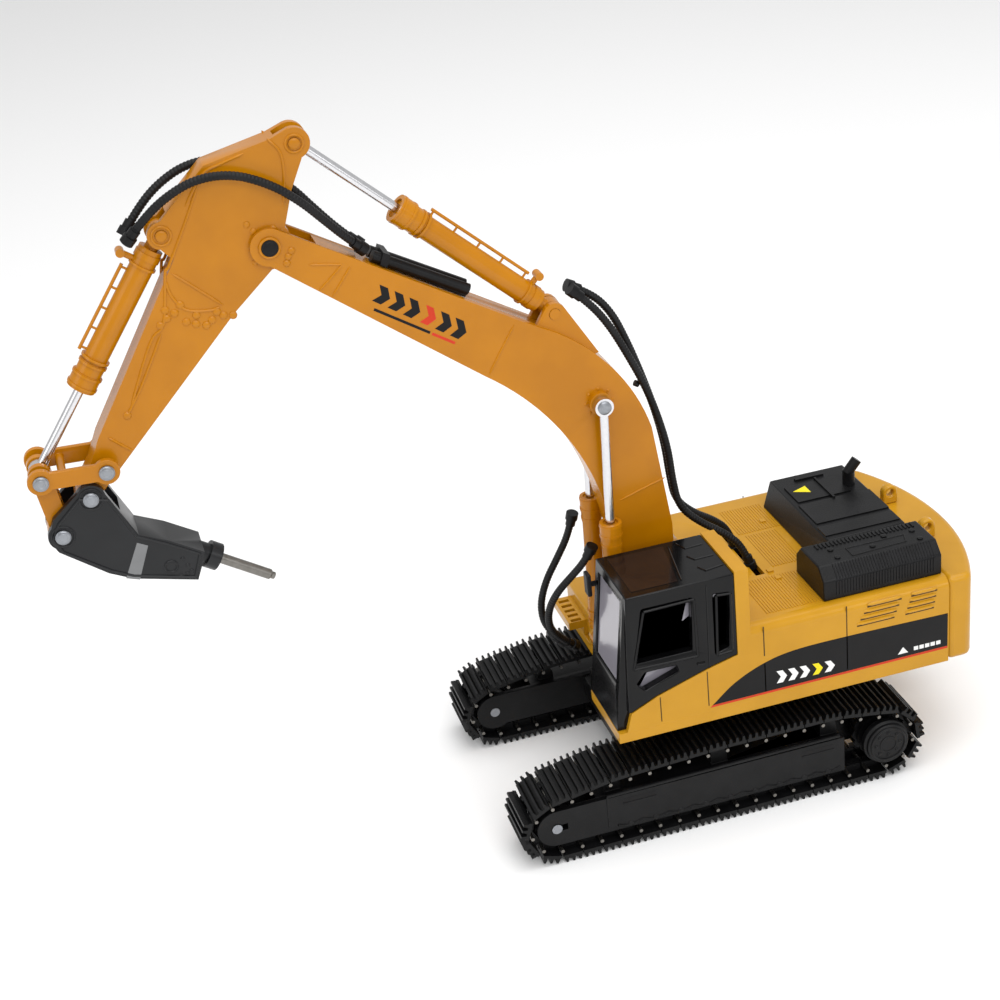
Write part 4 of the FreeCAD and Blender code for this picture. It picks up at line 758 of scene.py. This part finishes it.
def seam(x, low, high, half):
    """An upright strip of painted shade for a seam's groove, of a half width, from low to high on the house's
    left side.
    """
    return film([(x - half, low), (x + half, low), (x + half, high), (x - half, high)], HOUSE_SIDE)


CASING_TOP = 48.2
seams = []
for x, low, high in ((-11.5, 40.0, 47.6), (-31.5, 31.0, 47.6), (-11.5, 30.6, 38.0)):
    seams += both_sides(seam(x, low, high, 0.13))
for x, low, high in ((13.5, 29.6, 36.0), (2.2, 30.6, 39.6)):
    seams.append(seam(x, low, high, 0.12))
# These dark strips are painted shade: they stand for the shade inside the door grooves.
piece("casing_seam_painted_shade", seams, "house", SEAM_SHADOW)

louvres, gaps = [], []
for row in np.linspace(0, 1, 4):
    height = 46.7 - 4.4 * row
    for start, stop in ((-36.6 + 2.6 * row, -45.0 + 1.8 * row), (-47.4 + 1.5 * row, -53.8 + 0.8 * row)):
        louvres += both_sides(bead([(x, height) for x in np.linspace(start, stop, 9)], HOUSE_SIDE, 0.42))
        # Under each louvre, a dark film of painted shade stands for the shade in the gap below it.
        gaps += both_sides(film([(start, height - 0.75), (stop, height - 0.75), (stop, height - 0.4),
                                 (start, height - 0.4)], HOUSE_SIDE))
piece("casing_louvres", louvres, "house", YELLOW_ENAMEL)
piece("louvre_gap_painted_shade", gaps, "house", SEAM_SHADOW)

ribs = []
for x_from, x_to, y_from, y_to in ((-22.4, -33.0, -23.0, -10.4), (-23.4, -31.4, -9.2, 7.0),
                                   (-14.2, -28.0, 10.8, 25.8)):
    ribs += [slab(x, x + 0.32, y_from, y_to, CASING_TOP - 0.1, CASING_TOP + 0.16)
             for x in np.arange(x_to, x_from, 0.68)]
for x, y in ((-22.2, 8.6), (-22.6, 12.4), (-30.2, -14.2)):
    ribs.append(slab(x - 0.7, x + 0.7, y - 0.7, y + 0.7, CASING_TOP - 0.1, CASING_TOP + 0.4))
piece("deck_ribs", ribs, "house", YELLOW_ENAMEL)

# %% [markdown]
# ## Engine cover and cab roof
# The engine cover has raised panels, two long steps, a row of grille bars and a fine
# comb on its sloping side. The cab roof has a smooth hatch in front, three L-shaped ribs
# behind it and one long rib between. The door and its windows have raised frames.

# %% Detail the engine cover and the cab
COVER_TOP, BOX_TOP, ROOF = 55.0, 56.0, 62.8


def top_line(flat, z, radius=0.18):
    """A raised line along (x, y) places on a level face: a tube sunk to half its depth."""
    flat = np.asarray(flat, float)
    return rope(np.column_stack([flat, np.full(len(flat), float(z))]), radius, 8)


cover = [slab(-50.2, -36.6, -15.4, -7.0, COVER_TOP - 0.1, COVER_TOP + 0.35),
         slab(-54.4, -36.0, -5.6, 4.6, COVER_TOP - 0.1, COVER_TOP + 0.35),
         slab(-54.2, -35.4, 6.2, 10.8, COVER_TOP - 0.1, COVER_TOP + 0.3),
         slab(-45.3, -44.8, -16.4, -5.2, COVER_TOP - 0.1, COVER_TOP + 0.8),
         slab(-48.0, -40.6, -18.6, -17.6, COVER_TOP - 0.1, COVER_TOP + 0.5)]
cover += [slab(x, x + 0.4, 14.9, 16.9, BOX_TOP - 0.1, BOX_TOP + 0.25) for x in np.arange(-54.6, -30.6, 0.95)]
cover += [rope([(x, 26.7, 53.3), (x, 25.4, 54.6), (x, 24.1, 55.9)], 0.15, 8)
          for x in np.arange(-54.6, -30.2, 0.7)]
cover += [slab(x, x + 0.35, 26.6, 26.95, 49.4, 52.9) for x in np.arange(-54.6, -30.2, 0.7)]
cover += [top_line(line, BOX_TOP) for line in (
    [(-36.4, 19.2), (-50.8, 19.2)], [(-50.8, 19.2), (-49.8, 22.2)],
    [(-49.8, 22.2), (-36.4, 22.8)], [(-36.4, 22.8), (-36.4, 19.2)])]
cover += [lathe([(-0.2, 0.7), (0.25, 0.7), (0.35, 0.4)], (x, y, BOX_TOP), (0, 0, 1), 14)
          for x, y in ((-42.2, 20.9), (-33.0, 18.4), (-33.0, 22.2), (-53.2, 18.4), (-53.2, 22.4),
                       (-46.4, 17.9))]
piece("engine_cover_detail", cover, "house", COVER_PLASTIC)
triangle = prism([(-37.6, -12.4), (-41.4, -14.0), (-41.4, -10.4)], "z", COVER_TOP + 0.3, COVER_TOP + 0.38)
piece("cover_yellow_label", [triangle], "house", YELLOW_INK)

HATCH_PLASTIC = moulded("polished_smoked_hatch", "#1D1513", "#241B18", 0.12, 1.2, 0.04)
hatch = prism([(4.4, 11.6), (17.6, 11.6), (17.6, 27.4), (6.9, 27.4)], "z", ROOF - 0.1, ROOF + 0.12)
piece("roof_hatch", [hatch], "house", HATCH_PLASTIC)
roof = [top_line(line, ROOF, 0.22) for line in (
    [(1.4, 11.7), (0.3, 14.6)], [(0.3, 14.6), (-3.9, 14.3)], [(1.2, 18.1), (0.2, 20.1)],
    [(0.2, 20.1), (-4.3, 20.0)], [(0.8, 23.6), (-0.2, 25.7)], [(-0.2, 25.7), (-4.6, 24.9)],
    [(3.4, 12.0), (6.0, 27.2)])]
cab_side = outer_y("cab_shell")
for outline in ([(15.9, 58.6), (4.3, 58.8), (4.1, 44.3), (19.0, 44.7)],
                [(-0.9, 58.4), (-4.2, 58.1), (-4.0, 43.5), (-0.5, 43.3)]):
    corners = np.array(outline)
    for near, far in zip(corners, np.roll(corners, -1, axis=0)):
        roof.append(rope(at_y(np.linspace(near, far, 4), cab_side - 0.1), 0.38, 10))
roof.append(rope(at_y([(1.6, 40.6), (1.3, 61.4)], cab_side - 0.02), 0.16, 8))
roof.append(rope(at_y([(2.6, 42.2), (4.4, 42.3)], cab_side + 0.1), 0.3, 8))
piece("cab_frames_and_ribs", roof, "house", CAB_PLASTIC)

# %% [markdown]
# ## Rings on the cylinders and ferrules on the hoses
# Each barrel has two raised rings at its gland and thinner ones further back. Rings are
# placed by their distance from the base pin. Those on the lift cylinders stand less
# proud, because the boom's sides pass close to them. Each hose end sits in a black
# ferrule in two steps.

# %% Turn the rings and the ferrules
STICK_REACH, NOSE_REACH, LIFT_REACH = 41.6, 36.0, 38.5
ARM_BARREL, LIFT_LINE = 2.5, 7.1
LIFT_GLAND, LIFT_BACK = 2.6, 2.45


def gland(pin, end, y, radius, spots):
    """Rings 0.5 mm wide round a cylinder's line, at distances from its base pin."""
    pin, end = np.array([pin[0], y, pin[2]]), np.array([end[0], y, end[2]])
    return [lathe([(at, radius - 0.3), (at, radius), (at + 0.5, radius), (at + 0.5, radius - 0.3)],
                  pin, end - pin, 30) for at in spots]


for name, pin, end, reach, body in (
        ("stick_gland_rings", STICK_BASE, CREST, STICK_REACH, "stick_barrel"),
        ("breaker_gland_rings", NOSE, ROCKER_END, NOSE_REACH, "breaker_barrel")):
    rings = gland(pin, end, 0.0, ARM_BARREL + 0.7, (reach - 3.4, reach - 1.0))
    rings += gland(pin, end, 0.0, ARM_BARREL + 0.5, (reach - 6.0, reach - 7.2))
    rings += gland(pin, end, 0.0, ARM_BARREL + 0.35, (7.4,))
    piece(name, rings, body, AMBER_ENAMEL)
rings = []
for y in (LIFT_LINE, -LIFT_LINE):
    rings += gland(LIFT_BASE, LIFT_EYE, y, LIFT_GLAND, (LIFT_REACH - 3.2, LIFT_REACH - 0.9))
    rings += gland(LIFT_BASE, LIFT_EYE, y, LIFT_BACK, (LIFT_REACH - 5.6, 8.0))
piece("lift_gland_rings", rings, "lift_barrels", AMBER_ENAMEL)


def ferrule(path, inward):
    """Two steps round a hose's end, along the line's own direction there."""
    tip, next_point = (path[0], path[6]) if inward else (path[-1], path[-7])
    steps = [(-0.2, 0.5), (-0.2, 1.45), (1.5, 1.45), (1.6, 1.15), (3.2, 1.15), (3.2, 0.6)]
    return lathe(steps, tip, next_point - tip, 20)


ENDS = {"arm_hose_left": ("boom_arm", "stick_arm"), "arm_hose_right": ("boom_arm", "stick_arm"),
        "boom_hose_left": ("boom_arm", "house"), "boom_hose_right": ("boom_arm", "house"),
        "lift_hose_left": ("lift_barrels", "house"), "lift_hose_right": ("lift_barrels", "house")}
by_body = {}
for node, (first, last) in ENDS.items():
    by_body.setdefault(first, []).append(ferrule(hose_lines[node], True))
    by_body.setdefault(last, []).append(ferrule(hose_lines[node], False))
for body, shapes in by_body.items():
    piece(body + "_ferrules", shapes, body, COVER_PLASTIC)

# %% [markdown]
# ## Breaker and tracks
# The breaker's cheeks have a raised rim, a paler band, rings and a row of dots. The track
# frames have a ledge above, a row of scallops over the rollers and two slots, which are not
# sunk: each is a flat black film of painted shade. The driving wheels' caps have two rings
# and eight bolt heads.

# %% Detail the breaker and the track frames
CHEEK = 4.9
rim = [(-3.4, -0.9), (-7.5, -10.5), (-13.4, -13.7), (-19.5, -17.6), (-17.6, -22.7), (-5.2, -19.3),
       (-1.1, -17.1), (7.7, -10.4), (9.2, -7.2), (7.4, -3.9), (2.4, 0.6)]
rim = [(TIP[0] + x, TIP[2] + z) for x, z in rim]
shapes = []
for near, far in zip(rim, rim[1:] + rim[:1]):
    shapes += both_sides(rope(at_y(np.linspace(near, far, 5), CHEEK), 0.3, 8))
shapes += both_sides(hoop(111.0, 81.4, CHEEK, 1.3, 0.25))
shapes += side_dots([(108.4, 82.6), (107.6, 80.9), (109.4, 78.9), (108.0, 79.0), (107.0, 79.4)],
                    CHEEK, 0.45, 0.25)
for pin in (TIP, LINK):
    shapes += both_sides(hoop(pin[0], pin[2], CHEEK, 2.3, 0.25))
piece("breaker_rims", shapes, "breaker", GREY_ENAMEL)
band = prism([(116.9, 88.6), (114.8, 87.4), (117.9, 80.0), (120.6, 81.0)], "y", CHEEK - 0.1, CHEEK + 0.06)
piece("breaker_band", both_sides(band), "breaker", PALE_GREY_ENAMEL)

FRAME_SIDE = 30.9
frame_shapes, slot_painted_shade = [], []
frame_shapes += both_sides(rope(at_y([(-28.6, 14.4), (0, 14.4), (28.1, 14.2)], FRAME_SIDE - 0.05), 0.4, 8))
frame_shapes += both_sides(rope(at_y([(28.2, 5.4), (28.1, 14.2)], FRAME_SIDE - 0.05), 0.22, 8))
low_line = np.linspace(-28.6, 26.0, 90)
scallop = 5.7 - 0.75 * np.abs(np.sin(math.pi * (low_line + 28.6) / 6.07))
frame_shapes += both_sides(rope(at_y(np.column_stack([low_line, scallop]), FRAME_SIDE - 0.05), 0.35, 8))
for x in np.linspace(-25.6, 23.0, 9):
    frame_shapes += both_sides(button(x, 5.2, FRAME_SIDE - 0.02, 0.8, 0.3))
# Each slot is a flat black film of painted shade, standing for the shade of a recess.
for x_from, x_to in ((16.7, 24.2), (-27.0, -19.4)):
    slot_painted_shade += both_sides(prism([(x_from, 11.4), (x_to, 11.4), (x_to, 12.5), (x_from, 12.5)], "y",
                                   FRAME_SIDE - 0.1, FRAME_SIDE + 0.03))
    frame_shapes += both_sides(rope(at_y([(x_from - 0.2, 11.2), (x_to + 0.2, 11.2)], FRAME_SIDE), 0.2, 8))
piece("track_frame_detail", frame_shapes, "undercarriage", TRACK_PLASTIC)
piece("track_frame_slot_painted_shade", slot_painted_shade, "undercarriage", BLACK_INK)
for label, mirror in (("left", 1.0), ("right", -1.0)):
    hub = drawn("drive_" + label)
    cap = outer_y("hub_cap_left") * mirror
    shapes = [hoop(hub[0], hub[2], cap, 4.2, 0.3), hoop(hub[0], hub[2], cap, 2.0, 0.16)]
    shapes += [button(hub[0] + 3.0 * math.cos(t), hub[2] + 3.0 * math.sin(t), cap, 0.45, 0.25 * mirror)
               for t in np.linspace(0, 2 * math.pi, 9)[:-1]]
    piece("hub_rings_" + label, shapes, "drive_wheel_" + label, TRACK_PLASTIC)

# %% [markdown]
# ## Floor and light
# The toy stands on a plain pale sheet in a bright, even white surround. Four panels light
# it: a broad one overhead, one to the left that gives the enamel its long highlights, one
# in front, and a narrow strip that puts a thin glint on edges and rods.

# %% Make the floor and the lights
floor_mesh = bpy.data.meshes.new("pale_floor")
corners = [(-3, -3, -0.00005), (3, -3, -0.00005), (3, 3, -0.00005), (-3, 3, -0.00005)]
floor_mesh.from_pydata(corners, [], [(0, 1, 2, 3)])
floor = bpy.data.objects.new("pale_floor", floor_mesh)
bpy.context.scene.collection.objects.link(floor)
FLOOR_CARD, floor_tree, floor_shader, floor_place = new_material("matt_white_card", Base_Color=ink("#F4F4F4"),
                                                                Roughness=0.75, IOR=1.45)
floor_mesh.materials.append(FLOOR_CARD)


def panel(name, spot, aim, width, height, power, tint="#FFFFFF"):
    """A soft rectangular light at spot, facing aim."""
    light = bpy.data.lights.new(name, "AREA")
    light.shape = "RECTANGLE"
    light.size = width
    light.size_y = height
    light.energy = power
    light.color = ink(tint)[:3]
    holder = bpy.data.objects.new(name, light)
    bpy.context.scene.collection.objects.link(holder)
    holder.location = spot
    holder.rotation_mode = "QUATERNION"
    holder.rotation_quaternion = (Vector(aim) - Vector(spot)).to_track_quat("-Z", "Y")


MIDDLE = (0.0, 0.0, 0.08)
panel("overhead_softbox", (-0.1, 0.1, 0.9), MIDDLE, 1.0, 0.9, 6.0)
panel("left_softbox", (-0.3, 0.9, 0.55), MIDDLE, 0.8, 0.5, 2.4)
panel("front_softbox", (0.9, 0.35, 0.5), MIDDLE, 0.6, 0.6, 1.6)
panel("glint_strip", (0.1, 0.8, 0.75), MIDDLE, 0.7, 0.05, 1.6)
world = bpy.data.worlds.new("white_surround")
bpy.context.scene.world = world
world.use_nodes = True
world.node_tree.nodes["Background"].inputs["Color"].default_value = ink("#FFFFFF")
world.node_tree.nodes["Background"].inputs["Strength"].default_value = 0.66
bpy.context.scene.view_settings.view_transform = "Standard"
